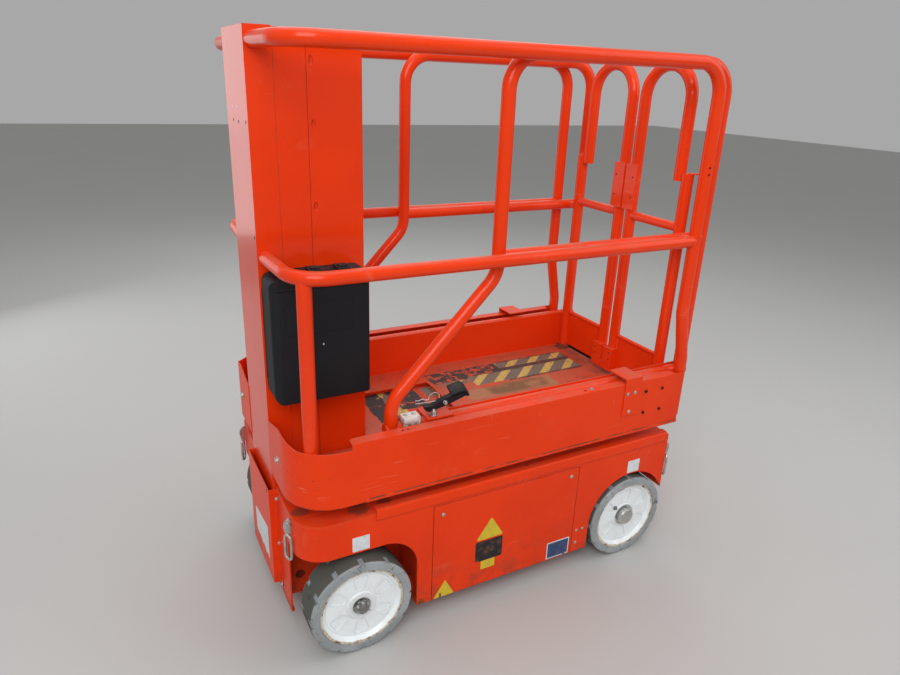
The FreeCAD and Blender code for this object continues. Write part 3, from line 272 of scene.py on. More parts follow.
def wear_paint(paint, dust=0.5, scuffs=0.5, chips=0.5, edge_radius=0.0025):
    """Pale rubs, thin scratches, dark chips, paler edges (edge wear with a painted highlight), dust on top
    and dirt near the ground.
    """
    paint.soften(edge_radius)
    paint.layer((paint.spots(2.7, 0.42, 0.68), 0.45), ORANGE_DEEP)
    rubs = paint.spots(14, 0.56, 0.74, 7.0, 0.68, bent=0.6)
    paint.layer((rubs, paint.spots(3.3, 0.46, 0.6, 2.0), 0.34 * scuffs), ORANGE_PALE, 0.5)
    lines = paint.streaks((7.0, 7.0, 330.0), 0.695, 0.74, 1.5, turn=(0.0, math.radians(9), 0.0))
    paint.layer((lines, paint.spots(6, 0.53, 0.62, 3.0), 0.8 * scuffs), ORANGE_PALE, 0.55)
    specks = paint.spots(160, 0.715, 0.77, 2.0)
    paint.layer((specks, paint.spots(5, 0.45, 0.6, 3.0), chips), GRIME, 0.7)
    # Paler edges: partly edge wear, partly a painted highlight along the sheet's edges.
    paint.layer((paint.edges(edge_radius), paint.spots(40, 0.3, 0.62, 4.0), 0.6), ORANGE_PALE, 0.5)
    paint.layer((paint.up(), paint.spots(8, 0.28, 0.74, 6.0, 0.62), dust), DUST, 0.62)
    low_down = paint.ramp(paint.axis("Z"), 0.26, 0.05)
    paint.layer((low_down, paint.spots(17, 0.38, 0.7, 7.0, 0.66), 0.5), GRIME, 0.7)
    paint.bump(paint.noise(330, 2.0), 0.00012, 0.5)


def orange_paint(name, roughness=0.36, coat=0.08, **wear):
    paint = Finish(name, ORANGE, roughness, coat=coat, specular=0.14)
    wear_paint(paint, **wear)
    return paint


# Dark round patches on top of the base: x, y, radius.
DARK_PATCHES = ((-0.64, -0.275, 0.03), (-0.415, -0.33, 0.026), (-0.494, -0.33, 0.036), (-0.6, 0.26, 0.035),
          (0.05, -0.345, 0.012))


def chassis_paint():
    """The base's sheet, with ragged dark round patches, two joint lines and rust at the arches' corners."""
    paint = orange_paint("chassis_paint", dust=0.25, scuffs=0.8)
    for x, y, radius in DARK_PATCHES:
        ragged = paint.maths("MULTIPLY_ADD", paint.noise(60, 5.0), radius, -radius / 2)
        far = paint.maths("ADD", paint.distance(X=x, Y=y), ragged)
        paint.layer((paint.ramp(far, radius, radius * 0.6), paint.up(), 0.7), GRIME, 0.45)
    for _, side in SIDES:
        joint = paint.patch(0.0005, 0.0006, 20.0, X=(-0.665, -0.505), Y=beside(side, 0.3108, 0.3122))
        paint.layer((joint, paint.up(), 0.7), GRIME, 0.7)
        corner = paint.patch(0.004, 0.008, 60.0, X=(-0.326, -0.304), Y=beside(side, 0.36, 0.38),
                             Z=(0.06, 0.086))
        paint.layer((corner, 0.9), RUST, 0.85)
    return paint.done()


def skirt_paint():
    """The platform's side sheet, rubbed at its front corners and dirty along its lower strip."""
    paint = orange_paint("skirt_paint", scuffs=0.9, chips=0.9)
    corner = paint.patch(0.02, X=(-0.7, -0.585), Z=(0.515, 0.63))
    pale = paint.streaks((26.0, 26.0, 520.0), 0.64, 0.7, 2.0, turn=(0.0, math.radians(4), 0.0))
    paint.layer((corner, pale, paint.spots(23, 0.48, 0.6, 3.0)), ORANGE_PALE, 0.5)
    dark = paint.streaks((60.0, 60.0, 210.0), 0.69, 0.73, 2.0, turn=(0.0, math.radians(-38), 0.0))
    paint.layer((corner, dark, 0.7), GRIME, 0.7)
    strip = paint.patch(0.0008, 0.001, 30.0, X=(-0.48, 0.64), Z=(0.4965, 0.499))
    paint.layer((strip, paint.spots(16, 0.36, 0.56, 4.0), 0.8), GRIME, 0.7)
    hem = paint.ramp(paint.axis("Z"), 0.4925, 0.4895)
    paint.layer((hem, paint.spots(28, 0.46, 0.6, 5.0), 0.8), GRIME, 0.7)
    return paint.done()


def mast_paint(name):
    """Glossier sheet with orange peel near the top and a darker band."""
    paint = orange_paint(name, roughness=0.28, coat=0.35, scuffs=0.35, chips=0.4, edge_radius=0.002)
    peel = paint.both(paint.ramp(paint.axis("Z"), 1.3, 1.6), paint.noise(140, 2.0))
    paint.bump(peel, 0.0005, 0.5)
    paint.bump(paint.noise(7, 2.0), 0.004, 0.25)
    band = paint.patch(soft=0.012, wander=0.01, Z=(1.1, 1.17))
    paint.layer((band, 0.35), ORANGE_DEEP)
    return paint


def dented_mast_paint(dents):
    """The fixed mast, with small teardrop dents in the near wall at (x, z) centres, each with painted shade
    inside.
    """
    paint = mast_paint("fixed_mast_paint")
    near_wall = paint.ramp(paint.axis("Y", paint.normal), -0.5, -0.9)
    for centre in dents:
        squares = 0.0
        for letter, at, half in zip("XZ", centre, DENT_HALF):
            share = paint.maths("DIVIDE", paint.maths("SUBTRACT", paint.axis(letter), at), half)
            squares = paint.maths("MULTIPLY_ADD", share, share, squares)
        hollow = paint.both(paint.ramp(squares, 1.2, 0.2), near_wall)
        paint.bump(paint.maths("SUBTRACT", 1.0, hollow), 0.004, 0.9)
        # Painted shade inside the dent.
        paint.layer((hollow, 0.5), ORANGE_DEEP)
    return paint.done()


def hazard_tape(paint, tear, pitch=0.101, lean=1.09, **spans):
    """Leaning yellow and grey stripes on a level top, torn where the noise is high."""
    zone = paint.both(paint.patch(0.0015, 0.004, 45.0, **spans), paint.up())
    skewed = paint.maths("SUBTRACT", paint.axis("X"), paint.maths("MULTIPLY", paint.axis("Y"), lean))
    phase = paint.maths("FRACT", paint.maths("DIVIDE", skewed, pitch))
    yellow = paint.both(paint.ramp(phase, 0.02, 0.05), paint.ramp(phase, 0.47, 0.44))
    stripes = paint.blend(yellow, TAPE_GREY, TAPE_YELLOW)
    soil = paint.spots(55, 0.34, 0.82, 7.0, 0.7)
    stripes = paint.blend(paint.both(soil, 0.45), stripes, GRIME)
    torn = paint.ramp(paint.noise(70, 6.0, 0.7), tear + 0.02, tear)
    paint.layer((zone, torn), stripes, 0.62)


def torn_pad(paint, tear, colour=TAPE_BLACK, scale=42.0, share=1.0, **spans):
    """What is left of a torn dark pad on a level top."""
    zone = paint.both(paint.patch(0.002, 0.012, 26.0, **spans), paint.up(), share)
    torn = paint.ramp(paint.noise(scale, 7.0, 0.72, bent=0.4), tear + 0.025, tear)
    paint.layer((zone, torn), colour, 0.75)


def walked_paint(name):
    """Paint of the two decks: rubbed and dirty on top, clean on their sides."""
    paint = Finish(name, WORN_ORANGE, 0.5)
    paint.soften(0.002)
    paint.layer(paint.ramp(paint.axis("Z", paint.normal), 0.5, 0.1), ORANGE, 0.35)
    paint.layer((paint.spots(4, 0.4, 0.7, 5.0, 0.6), paint.up(), 0.6), ORANGE_DEEP)
    paint.layer((paint.spots(22, 0.48, 0.78, 8.0, 0.7), paint.up(), 0.5), GRIME, 0.7)
    streaks = paint.streaks((9.0, 160.0, 9.0), 0.6, 0.7, 3.0, turn=(0.0, 0.0, 0.25))
    paint.layer((streaks, paint.up(), 0.35), DUST, 0.6)
    pits = paint.spots(120, 0.68, 0.73, 3.0)
    paint.layer((pits, paint.up(), 0.7), GRIME, 0.8)
    # Paler edges: partly edge wear, partly a painted highlight along the deck's edges.
    paint.layer((paint.edges(0.0025), 0.5), ORANGE_PALE, 0.5)
    paint.bump(paint.noise(90, 5.0), 0.0004, 0.4)
    return paint


def deck_paint():
    paint = walked_paint("deck_paint")
    torn_pad(paint, 0.52, X=(-0.035, 0.3), Y=(0.128, 0.216))
    torn_pad(paint, 0.62, scale=60.0, share=0.9, X=(0.245, 0.576), Y=(0.056, 0.218))
    hazard_tape(paint, 0.6, X=(0.262, 0.571), Y=(0.166, 0.212))
    hazard_tape(paint, 0.6, X=(0.108, 0.573), Y=(0.065, 0.141))
    hazard_tape(paint, 0.5, X=(-0.012, 0.108), Y=(0.088, 0.13))
    ring = paint.patch(0.012, 0.02, 16.0, X=(0.035, 0.4), Y=(-0.036, 0.044))
    paint.layer((ring, paint.up(), 0.75), OIL_STAIN_PALE, 0.6)
    brown = paint.patch(0.016, 0.022, 14.0, X=(0.12, 0.37), Y=(-0.03, 0.04))
    paint.layer((brown, paint.up(), paint.spots(12, 0.3, 0.52, 5.0), 0.9), OIL_STAIN, 0.55)
    collar = paint.patch(0.003, 0.008, X=(0.595, 0.665), Y=(0.23, 0.282), Z=(0.52, 0.546))
    paint.layer((collar, 0.8), GRIME, 0.7)
    doorway = paint.patch(0.006, 0.006, X=(0.575, 0.66), Y=(-0.2, 0.22))
    paint.layer((doorway, paint.up(), paint.spots(14, 0.34, 0.66, 6.0), 0.6), GRIME, 0.7)
    return paint.done()


def floor_paint():
    paint = walked_paint("floor_paint")
    hazard_tape(paint, 0.62, pitch=0.12, lean=0.55, X=(-0.255, -0.185), Y=(-0.035, 0.2))
    torn_pad(paint, 0.6, X=(-0.3, -0.232), Y=(-0.03, 0.24))
    torn_pad(paint, 0.55, X=(-0.205, -0.105), Y=(0.03, 0.19))
    torn_pad(paint, 0.66, TAPE_GREY, X=(-0.078, -0.042), Y=(0.085, 0.16))
    torn_pad(paint, 0.66, TAPE_YELLOW, X=(-0.042, -0.006), Y=(0.07, 0.16))
    return paint.done()


# Finishes of the other materials.


def rim_paint(name, centre):
    """White enamel, with rust and cream filler round the edge of one rim."""
    paint = Finish(name, WHITE_PAINT, 0.33, coat=0.25)
    paint.soften(0.0015)
    out = paint.distance(X=centre.x, Z=centre.z)
    paint.layer((paint.spots(26, 0.46, 0.8, 6.0, 0.65), 0.18), DUST, 0.6)
    # Darker towards the hub.
    paint.layer((paint.ramp(out, 0.052, 0.02), 0.25), GRIME, 0.5)
    ragged = paint.maths("MULTIPLY_ADD", paint.noise(70, 4.0), 0.012, -0.006)
    edge = paint.ramp(paint.maths("ADD", out, ragged), 0.1155, 0.1185)
    paint.layer((edge, 0.9), CREAM, 0.6)
    rusty = paint.spots(33, 0.47, 0.6, 7.0, 0.72)
    paint.layer((edge, rusty), RUST, 0.85)
    chips = paint.both(paint.spots(150, 0.74, 0.78, 2.0), paint.spots(9, 0.5, 0.6))
    paint.layer(chips, RUST, 0.8)
    # Painted shade along the rim's edges, which draws out its outlines.
    paint.layer((paint.edges(0.0022, 0.008, 0.1), 0.5), EDGE_SHADE_GREY)
    paint.bump(paint.noise(60, 3.0), 0.0004, 0.3)
    return paint.done()


def tyre_rubber(name, centre):
    """Solid grey rubber: pale sidewall, darker scuffed tread."""
    rubber = Finish(name, RUBBER, 0.72)
    out = rubber.distance(X=centre.x, Z=centre.z)
    rubber.layer((rubber.spots(9, 0.42, 0.66, 5.0), 0.7), RUBBER_PALE)
    tread = rubber.ramp(out, 0.1502, 0.1514)
    rubber.layer((tread, rubber.spots(30, 0.1, 0.34, 6.0, 0.7)), RUBBER_TREAD, 0.8)
    smear = rubber.streaks((22.0, 60.0, 22.0), 0.6, 0.68, 5.0, rough=0.7)
    rubber.layer((smear, 0.75), SMEAR_BLACK, 0.7)
    nicks = rubber.spots(75, 0.62, 0.68, 5.0)
    rubber.layer((nicks, 0.5), GRIME)
    rubber.bump(rubber.noise(55, 6.0, 0.65), 0.0012, 0.5)
    return rubber.done()


def plastic(name, colour, roughness):
    made = Finish(name, colour, roughness)
    made.soften(0.002)
    paler = tuple(value * 1.3 + 0.002 for value in colour)
    made.layer((made.spots(6, 0.35, 0.75, 5.0), 0.35), paler)
    made.layer((made.up(), made.spots(20, 0.3, 0.8, 6.0), 0.5), DUST_GREY, 0.8)
    made.bump(made.noise(260, 2.0), 0.0003, 0.6)
    return made


def nylon():
    made = Finish("nylon", NYLON, 0.5)
    made.soften(0.003)
    foot = made.both(made.ramp(made.axis("Z"), 0.69, 0.668), made.spots(70, 0.3, 0.62, 5.0))
    made.layer(foot, RUST, 0.7)
    made.layer((made.spots(60, 0.48, 0.75, 5.0), 0.3), GRIME)
    made.bump(made.noise(200, 3.0), 0.0002, 0.5)
    return made.done()


def metal(name, colour, roughness, rust):
    made = Finish(name, colour, roughness, metallic=1.0)
    made.soften(0.001)
    made.layer(made.spots(40, 0.35, 0.75, 5.0), tuple(value * 0.72 for value in colour), roughness + 0.18)
    made.layer((made.spots(48, 0.55, 0.75, 7.0, 0.7), rust), RUST, 0.85)
    made.bump(made.noise(300, 3.0), 0.0001, 0.5)
    return made.done()


def label(name, colour):
    """A blank plate or sticker with soiled, scratched film."""
    made = Finish(name, colour, 0.38, coat=0.2)
    made.layer((made.spots(45, 0.45, 0.78, 7.0, 0.7), 0.45), DUST, 0.6)
    scratch = made.streaks((30.0, 30.0, 600.0), 0.68, 0.74, 1.5, turn=(0.0, 0.4, 0.0))
    made.layer((scratch, 0.5), GRIME)
    made.bump(made.noise(400, 2.0), 0.00005, 0.3)
    return made.done()


DENT_HALF = (0.0055, 0.0115)
DENTS = ((-0.5214, 1.5845), (-0.5198, 1.4373), (-0.5202, 1.2356))

FINISHES = {
    "orange": orange_paint("orange_paint").done(),
    "rails": orange_paint("rail_paint", 0.3, 0.3, scuffs=1.0, chips=0.7, dust=0.6,
                          edge_radius=0.0015).done(),
    "chassis": chassis_paint(),
    "skirt": skirt_paint(),
    "mast": mast_paint("mast_paint").done(),
    "dented": dented_mast_paint(DENTS),
    "deck": deck_paint(),
    "floor": floor_paint(),
    "black": plastic("black_plastic", BLACK, 0.62).done(),
    "case": plastic("battery_case", CASE_BLACK, 0.7).done(),
    "nylon": nylon(),
    "zinc": metal("zinc", ZINC, 0.34, 0.25),
    "dull_steel": metal("dull_steel", STEEL, 0.45, 0.55),
    "red": orange_paint("red_paint", dust=0.3).done(),
    "label_white": label("label_white", LABEL_WHITE),
    "label_yellow": label("label_yellow", LABEL_YELLOW),
    "label_blue": label("label_blue", LABEL_BLUE),
    "label_black": label("label_black", BLACK),
    # Black discs on the sheets are painted shade inside holes.
    "hole": plastic("hole_shade_paint", HOLE_SHADE_BLACK, 0.9).done(),
}
FINISH_OF_SLOT = {"orange_paint": "orange", "floor_paint": "floor", "bare_steel": "dull_steel",
                  "zinc": "zinc", "battery_case": "case", "nylon": "nylon", "red_paint": "red",
                  "black_plastic": "black"}
NODES_OF_FINISH = {
    "skirt": ("platform_skirt",),
    "chassis": ("chassis_frame", "chassis_top", "edge_rails", "side_door_near", "side_door_far"),
    "dented": ("mast_base",),
    "mast": ("mast_outer", "mast_carriage"),
    "deck": ("extension_deck",),
    "rails": ("side_rail_near", "side_rail_far", "extension_frame_near", "extension_frame_far",
              "gate_near", "gate_far"),
}
SLOT_OF_FINISH = {"zinc": "zinc", "dull_steel": "bare_steel", "black": "black_plastic"}
FINISH_OF_NODE = {node: finish for finish, nodes in NODES_OF_FINISH.items() for node in nodes}



def dress(node, material):
    """Gives a CAD node one material."""
    piece = frame["nodes"][node]
    piece.data.materials.clear()
    piece.data.materials.append(material)


def middle(node):
    low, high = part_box(node)
    return (low + high) / 2


def reach(node):
    """How far a node reaches from the machine's middle plane."""
    return max(abs(corner.y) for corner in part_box(node))


def dress_nodes():
    for row in frame["record"]["subparts"]:
        node, slot = row["node"], row["material_slot"]
        if slot == "rim_paint":
            dress(node, rim_paint(node + "_paint", middle(node)))
        elif slot != "tyre":
            dress(node, FINISHES[FINISH_OF_NODE.get(node, FINISH_OF_SLOT[slot])])


# Shapes that scene pieces are made of.


UP = (0, 0, 1)
FORWARD = (-1, 0, 0)

# The two axes of a prism's outline; their cross product points the way in which it rises.
LEVEL = ((1, 0, 0), (0, 1, 0))
NEAR_FACE = ((1, 0, 0), UP)
FRONT_FACE = ((0, -1, 0), UP)
REAR_FACE = ((0, 1, 0), UP)

# The section of a low domed head with a hole in its middle, as shares of its radius: height, radius.
PAN_HEAD = ((0, 0), (0, 1), (0.25, 0.96), (0.5, 0.6), (0.5, 0.3), (0.2, 0.26), (0.2, 0))


class Kit:
    """One piece made of many small shapes that ride on one body."""

    def __init__(self, name, body, finish, slot=None):
        self.name, self.body, self.finish = name, body, finish
        self.slot = slot or SLOT_OF_FINISH.get(finish)
        self.mesh = bmesh.new()

    def lathe(self, at, axis, profile, segments=24):
        """Turns a profile of (height, radius) points about an axis through a point."""
        axis = Vector(axis).normalized()
        side = axis.orthogonal().normalized()
        if abs(axis.z) < 0.9:
            side = axis.cross(Vector(UP)).normalized()
        other = axis.cross(side)
        turns = [math.tau * n / segments for n in range(segments)]
        rings = []
        for height, radius in profile:
            base = Vector(at) + axis * height
            if radius < 1e-7:
                rings.append([self.mesh.verts.new(base)])
                continue
            rings.append([self.mesh.verts.new(base + side * (radius * math.cos(turn))
                                              + other * (radius * math.sin(turn))) for turn in turns])
        for lower, upper in zip(rings, rings[1:]):
            for n in range(segments):
                corners = []
                for ring, step in ((lower, n), (lower, n + 1), (upper, n + 1), (upper, n)):
                    vert = ring[step % len(ring)]
                    if vert not in corners:
                        corners.append(vert)
                if len(corners) > 2:
                    self.mesh.faces.new(corners)

    def disc(self, at, axis, radius, thick, segments=20):
        self.lathe(at, axis, ((0, 0), (0, radius), (thick, radius), (thick, 0)), segments)

    def hex_bolt(self, at, axis, radius, washer=1.6, height=None):
        """A hexagon head on a washer."""
        height = height or radius * 0.75
        lift = radius * 0.22
        self.disc(at, axis, radius * washer, lift)
        self.lathe(Vector(at) + Vector(axis).normalized() * lift, axis,
                   ((0, 0), (0, radius), (height * 0.8, radius), (height, radius * 0.86), (height, 0)), 6)

    def pan_screw(self, at, axis, radius):
        """A low domed head."""
        self.lathe(at, axis, [(radius * height, radius * share) for height, share in PAN_HEAD], 20)

    def prism(self, outline, at, axes, thick):
        """A flat piece whose outline of (u, v) points lies on two axes, rising by its thickness."""
        across, along = (Vector(axis) for axis in axes)
        rise = across.cross(along).normalized() * thick
        foot = [self.mesh.verts.new(Vector(at) + across * u + along * v) for u, v in outline]
        head = [self.mesh.verts.new(vert.co + rise) for vert in foot]
        self.mesh.faces.new(list(reversed(foot)))
        self.mesh.faces.new(head)
        count = len(outline)
        for n in range(count):
            self.mesh.faces.new((foot[n], foot[(n + 1) % count], head[(n + 1) % count], head[n]))

    def loft(self, first, second):
        """A solid between two outlines with as many points."""
        rings = [[self.mesh.verts.new(Vector(point)) for point in outline] for outline in (first, second)]
        for ring in rings:
            self.mesh.faces.new(ring)
        count = len(first)
        for n in range(count):
            after = (n + 1) % count
            self.mesh.faces.new((rings[0][n], rings[0][after], rings[1][after], rings[1][n]))

    def sweep(self, points, normal, radius, closed=False, sides=10):
        """A round wire along points that lie in one plane."""
        normal = Vector(normal).normalized()
        points = [Vector(point) for point in points]
        rings = []
        for n, point in enumerate(points):
            before = points[n - 1] if n or closed else point
            after = points[(n + 1) % len(points)] if n + 1 < len(points) or closed else point
            across = normal.cross(after - before).normalized()
            rings.append([self.mesh.verts.new(point + (across * math.cos(turn)
                                                       + normal * math.sin(turn)) * radius)
                          for turn in (math.tau * k / sides for k in range(sides))])
        pairs = list(zip(rings, rings[1:])) + ([(rings[-1], rings[0])] if closed else [])
        for first, second in pairs:
            for k in range(sides):
                after = (k + 1) % sides
                self.mesh.faces.new((first[k], first[after], second[after], second[k]))
        if not closed:
            self.mesh.faces.new(list(reversed(rings[0])))
            self.mesh.faces.new(rings[-1])

    def done(self, smooth_below=35):
        bmesh.ops.recalc_face_normals(self.mesh, faces=self.mesh.faces)
        data = bpy.data.meshes.new(self.name)
        self.mesh.to_mesh(data)
        self.mesh.free()
        data.shade_smooth()
        data.set_sharp_from_angle(angle=math.radians(smooth_below))
        data.materials.append(FINISHES[self.finish] if isinstance(self.finish, str) else self.finish)
        piece = bpy.data.objects.new(self.name, data)
        bpy.context.collection.objects.link(piece)
        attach(piece, self.body)
        return piece


def rounded_outline(points, radius, steps=5):
    """The outline of a polygon with its corners rounded by arcs."""
    outline = []
    count = len(points)
    for n in range(count):
        before, corner, after = (Vector(points[(n + k) % count]) for k in (-1, 0, 1))
        arriving, leaving = (corner - before).normalized(), (after - corner).normalized()
        turn = math.atan2(arriving.x * leaving.y - arriving.y * leaving.x, arriving.dot(leaving))
        inward = (leaving - arriving).normalized()
        centre = corner + inward * (radius / math.cos(turn / 2))
        first = corner - arriving * (radius * math.tan(abs(turn) / 2)) - centre
        start = math.atan2(first.y, first.x)
        outline += [(centre.x + radius * math.cos(start + turn * step / steps),
                     centre.y + radius * math.sin(start + turn * step / steps)) for step in range(steps + 1)]
    return outline


def box_outline(low_u, high_u, low_v, high_v):
    return ((low_u, low_v), (high_u, low_v), (high_u, high_v), (low_u, high_v))


PLATE_THICK = 0.0007
HOLE_THICK = 0.0003


# Wheels.

RUBBER_THICK = 0.027
NOTCHES = 12
NOTCH_HALF = math.radians(2.9)
NOTCH_DEEP = 0.0045
NOTCH_LONG = 0.028
LAND_PARTS = 6
SHOULDER = ((0.0, 0.0105), (0.0012, 0.0045), (0.0045, 0.0012), (0.0105, 0.0))


def tyre_profile(width, bore, radius, notched):
    """Points of (depth, radius) from the outer bead over the tread to the inner bead."""
    drop = NOTCH_DEEP if notched else 0.0
    outer = [(depth, radius - fall - drop) for depth, fall in SHOULDER]
    inner = [(width - depth, at) for depth, at in reversed(outer)]
    return ([(0.0, bore)] + outer + [(NOTCH_LONG, radius - drop), (NOTCH_LONG, radius),
            (width - NOTCH_LONG, radius), (width - NOTCH_LONG, radius - drop)] + inner + [(width, bore)])


def tyre(node, body):
    low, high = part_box(node)
    centre = middle(node)
    side = -1 if centre.y < 0 else 1
    width = high.y - low.y
    radius = (high.z - low.z) / 2
    bore = radius - RUBBER_THICK
    face_y = side * reach(node)
    made = Kit(node + "_rubber", body, tyre_rubber(node + "_rubber", centre), "tyre")
    land = math.tau / NOTCHES - NOTCH_HALF * 2
    spans = []
    for number in range(NOTCHES):
        start = math.tau * number / NOTCHES
        spans.append((start - NOTCH_HALF, start + NOTCH_HALF, True))
        steps = [start + NOTCH_HALF + land * part / LAND_PARTS for part in range(LAND_PARTS + 1)]
        spans += [(low_turn, high_turn, False) for low_turn, high_turn in zip(steps, steps[1:])]

    def ring(turn, notched):
        return [Vector((centre.x + at * math.sin(turn), face_y - side * depth,
                        centre.z + at * math.cos(turn)))
                for depth, at in tyre_profile(width, bore, radius, notched)]

    def strip(first, second):
        for n in range(len(first)):
            after = (n + 1) % len(first)
            corners = [first[n], second[n], second[after], first[after]]
            unlike = [corner for k, corner in enumerate(corners)
                      if all((corner - other).length > 1e-7 for other in corners[:k])]
            if len(unlike) > 2:
                made.mesh.faces.new([made.mesh.verts.new(corner) for corner in unlike])

    for low_turn, high_turn, notched in spans:
        strip(ring(low_turn, notched), ring(high_turn, notched))
        if notched:
            for turn in (low_turn, high_turn):
                strip(ring(turn, True), ring(turn, False))
    bmesh.ops.remove_doubles(made.mesh, verts=made.mesh.verts, dist=1e-5)
    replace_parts(made.done(28), node)


CASTLE_TEETH = 6
NUT_SEAT = 0.028
# The nut's hexagon, and the profile of one of its teeth: height, radius.
NUT_RING = ((0, 0.0183), (0, 0.0205), (0.0135, 0.0205), (0.015, 0.0188), (0.015, 0.0183), (0, 0.0183))
NUT_TOOTH = ((0, 0), (0, 0.0052), (0.0095, 0.0052), (0.0105, 0.0042), (0.0105, 0))
TOOTH_CIRCLE = 0.0158
AXLE_END = ((0, 0), (0, 0.0125), (0.0025, 0.0115), (0.0025, 0.003), (0.0012, 0.0025), (0.0012, 0))


def castle_nut(side_name, side):
    """The castle nut, its split pin and washer on a front stub axle."""
    centre = middle("rim_front_" + side_name)
    out = (0, side, 0)
    tip = reach("knuckle_" + side_name)
    wheel = "wheel_front_" + side_name
    foot = Vector((centre.x, side * (tip - NUT_SEAT), centre.z))
    nut = Kit("castle_nut_" + side_name, wheel, "zinc")
    nut.disc(foot, out, 0.0245, 0.003, 32)
    nut.lathe(foot + Vector(out) * 0.003, out, NUT_RING, 6)
    for number in range(CASTLE_TEETH):
        turn = math.tau * number / CASTLE_TEETH
        tooth = Vector((TOOTH_CIRCLE * math.sin(turn), side * 0.0175, TOOTH_CIRCLE * math.cos(turn)))
        nut.lathe(foot + tooth, out, NUT_TOOTH, 8)
    nut.done()
    pin = Kit("split_pin_" + side_name, wheel, "dull_steel")
    pin.disc(foot + Vector((-0.019, side * 0.0215, 0.004)), (1, 0, -0.2), 0.0016, 0.038, 10)
    pin.disc(foot + Vector((0.016, side * 0.0215, -0.002)), (0.2, side * 0.9, -1), 0.0014, 0.014, 10)
    pin.done()
    end = Kit("axle_end_" + side_name, wheel, "dull_steel")
    end.lathe(Vector((centre.x, side * (tip - 0.0005), centre.z)), out, AXLE_END, 24)
    end.done()


CAP_DEPTH = 0.024
# Profiles of the hub cap and of the mark on it: height, radius.
HUB_CAP = ((0, 0.0281), (0, 0.0286), (0.0225, 0.0286), (0.0252, 0.0268), (0.0256, 0.012),
           (0.0248, 0.009), (0.0248, 0.0), (0.0235, 0.0), (0.0, 0.0281))
CAP_MARK = ((0, 0), (0, 0.0035), (0.0009, 0.003), (0.0009, 0))
DISH_DEPTH = 0.019


def hub_cap(side_name, side):
    """The zinc cap over a rear hub and the small bolt beside it."""
    centre = middle("rim_rear_" + side_name)
    out = Vector((0, side, 0))
    tip = reach("rim_rear_" + side_name)
    wheel = "wheel_rear_" + side_name
    cap = Kit("hub_cap_" + side_name, wheel, "zinc")
    start = Vector((centre.x, side * (tip - CAP_DEPTH), centre.z))
    cap.lathe(start, out, HUB_CAP, 40)
    cap.lathe(start + out * 0.0248 + Vector((-0.004, 0, -0.001)), out, CAP_MARK, 12)
    cap.done()
    bolt = Kit("hub_bolt_" + side_name, wheel, "dull_steel")
    bolt.hex_bolt((centre.x - 0.04, side * (tip - DISH_DEPTH), centre.z + 0.036), out, 0.0052, 1.5, 0.006)
    bolt.done()


def dress_wheels():
    for end in ("front", "rear"):
        for side_name, side in SIDES:
            tyre(f"tyre_{end}_{side_name}", f"wheel_{end}_{side_name}")
    for side_name, side in SIDES:
        castle_nut(side_name, side)
        hub_cap(side_name, side)


# Fixings and blank plates on the base.

PAN_BOLT_Y = 0.1415
PAN_BOLTS = ((0.405, 1.4), (0.251, 1.4), (0.0985, 1.9))  # height, washer's share of the head
PAN_HOLE = (-0.11, 0.418)
SKIRT_BOLTS = ((0.262, 0.154), (0.287, 0.154), (0.262, 0.105))
DOOR_SCREWS = ((-0.248, 0.371), (0.215, 0.376))
LUG_SLOT_HALF = 0.0036
LUG_SLOT_TOP = 0.085


def lug_slot(x, foot):
    """Corners of the slot that lets a hinge lug through the foot of a plate."""
    return ((x - LUG_SLOT_HALF, foot), (x - LUG_SLOT_HALF, LUG_SLOT_TOP),
            (x + LUG_SLOT_HALF, LUG_SLOT_TOP), (x + LUG_SLOT_HALF, foot))


# Blank plates on the near side: name, body, finish, corner radius, layer, outline of (x, z).
PLATES = (
    ("plate_triangle", "door_near", "label_yellow", 0.004, 0,
     ((-0.131, 0.236), (-0.0335, 0.236), (-0.079, 0.311))),
    ("plate_black", "door_near", "label_black", 0.006, 0, box_outline(-0.1305, -0.034, 0.156, 0.2305)),
    ("plate_small_yellow", "door_near", "label_yellow", 0.002, 0,
     box_outline(-0.109, -0.059, 0.124, 0.155)),
    ("plate_small_triangle", "door_near", "label_yellow", 0.001, 0,
     ((-0.272, 0.0705), *lug_slot(-0.2495, 0.0705), (-0.202, 0.0705), (-0.2335, 0.129))),
    ("plate_blue_border", "door_near", "label_white", 0.001, 0,
     ((0.1455, 0.073), *lug_slot(0.2165, 0.073), (0.2345, 0.073), (0.2345, 0.137), (0.1455, 0.137))),
    ("plate_blue", "door_near", "label_blue", 0.001, 1,
     ((0.149, 0.0765), *lug_slot(0.2165, 0.0765), (0.231, 0.0765), (0.231, 0.1335), (0.149, 0.1335))),
    ("plate_front", "base", "label_white", 0.0015, 0, box_outline(-0.527, -0.477, 0.331, 0.377)),
    ("plate_rear", "base", "label_white", 0.0015, 0, box_outline(0.455, 0.505, 0.325, 0.371)),
)
# What is left of a torn sticker on the front cover: (y, z).
TORN_STICKER = ((-0.085, 0.275), (0.075, 0.25), (0.074, 0.168), (0.05, 0.163), (0.031, 0.17),
                (0.004, 0.158), (-0.022, 0.167), (-0.045, 0.156), (-0.066, 0.164), (-0.084, 0.158))


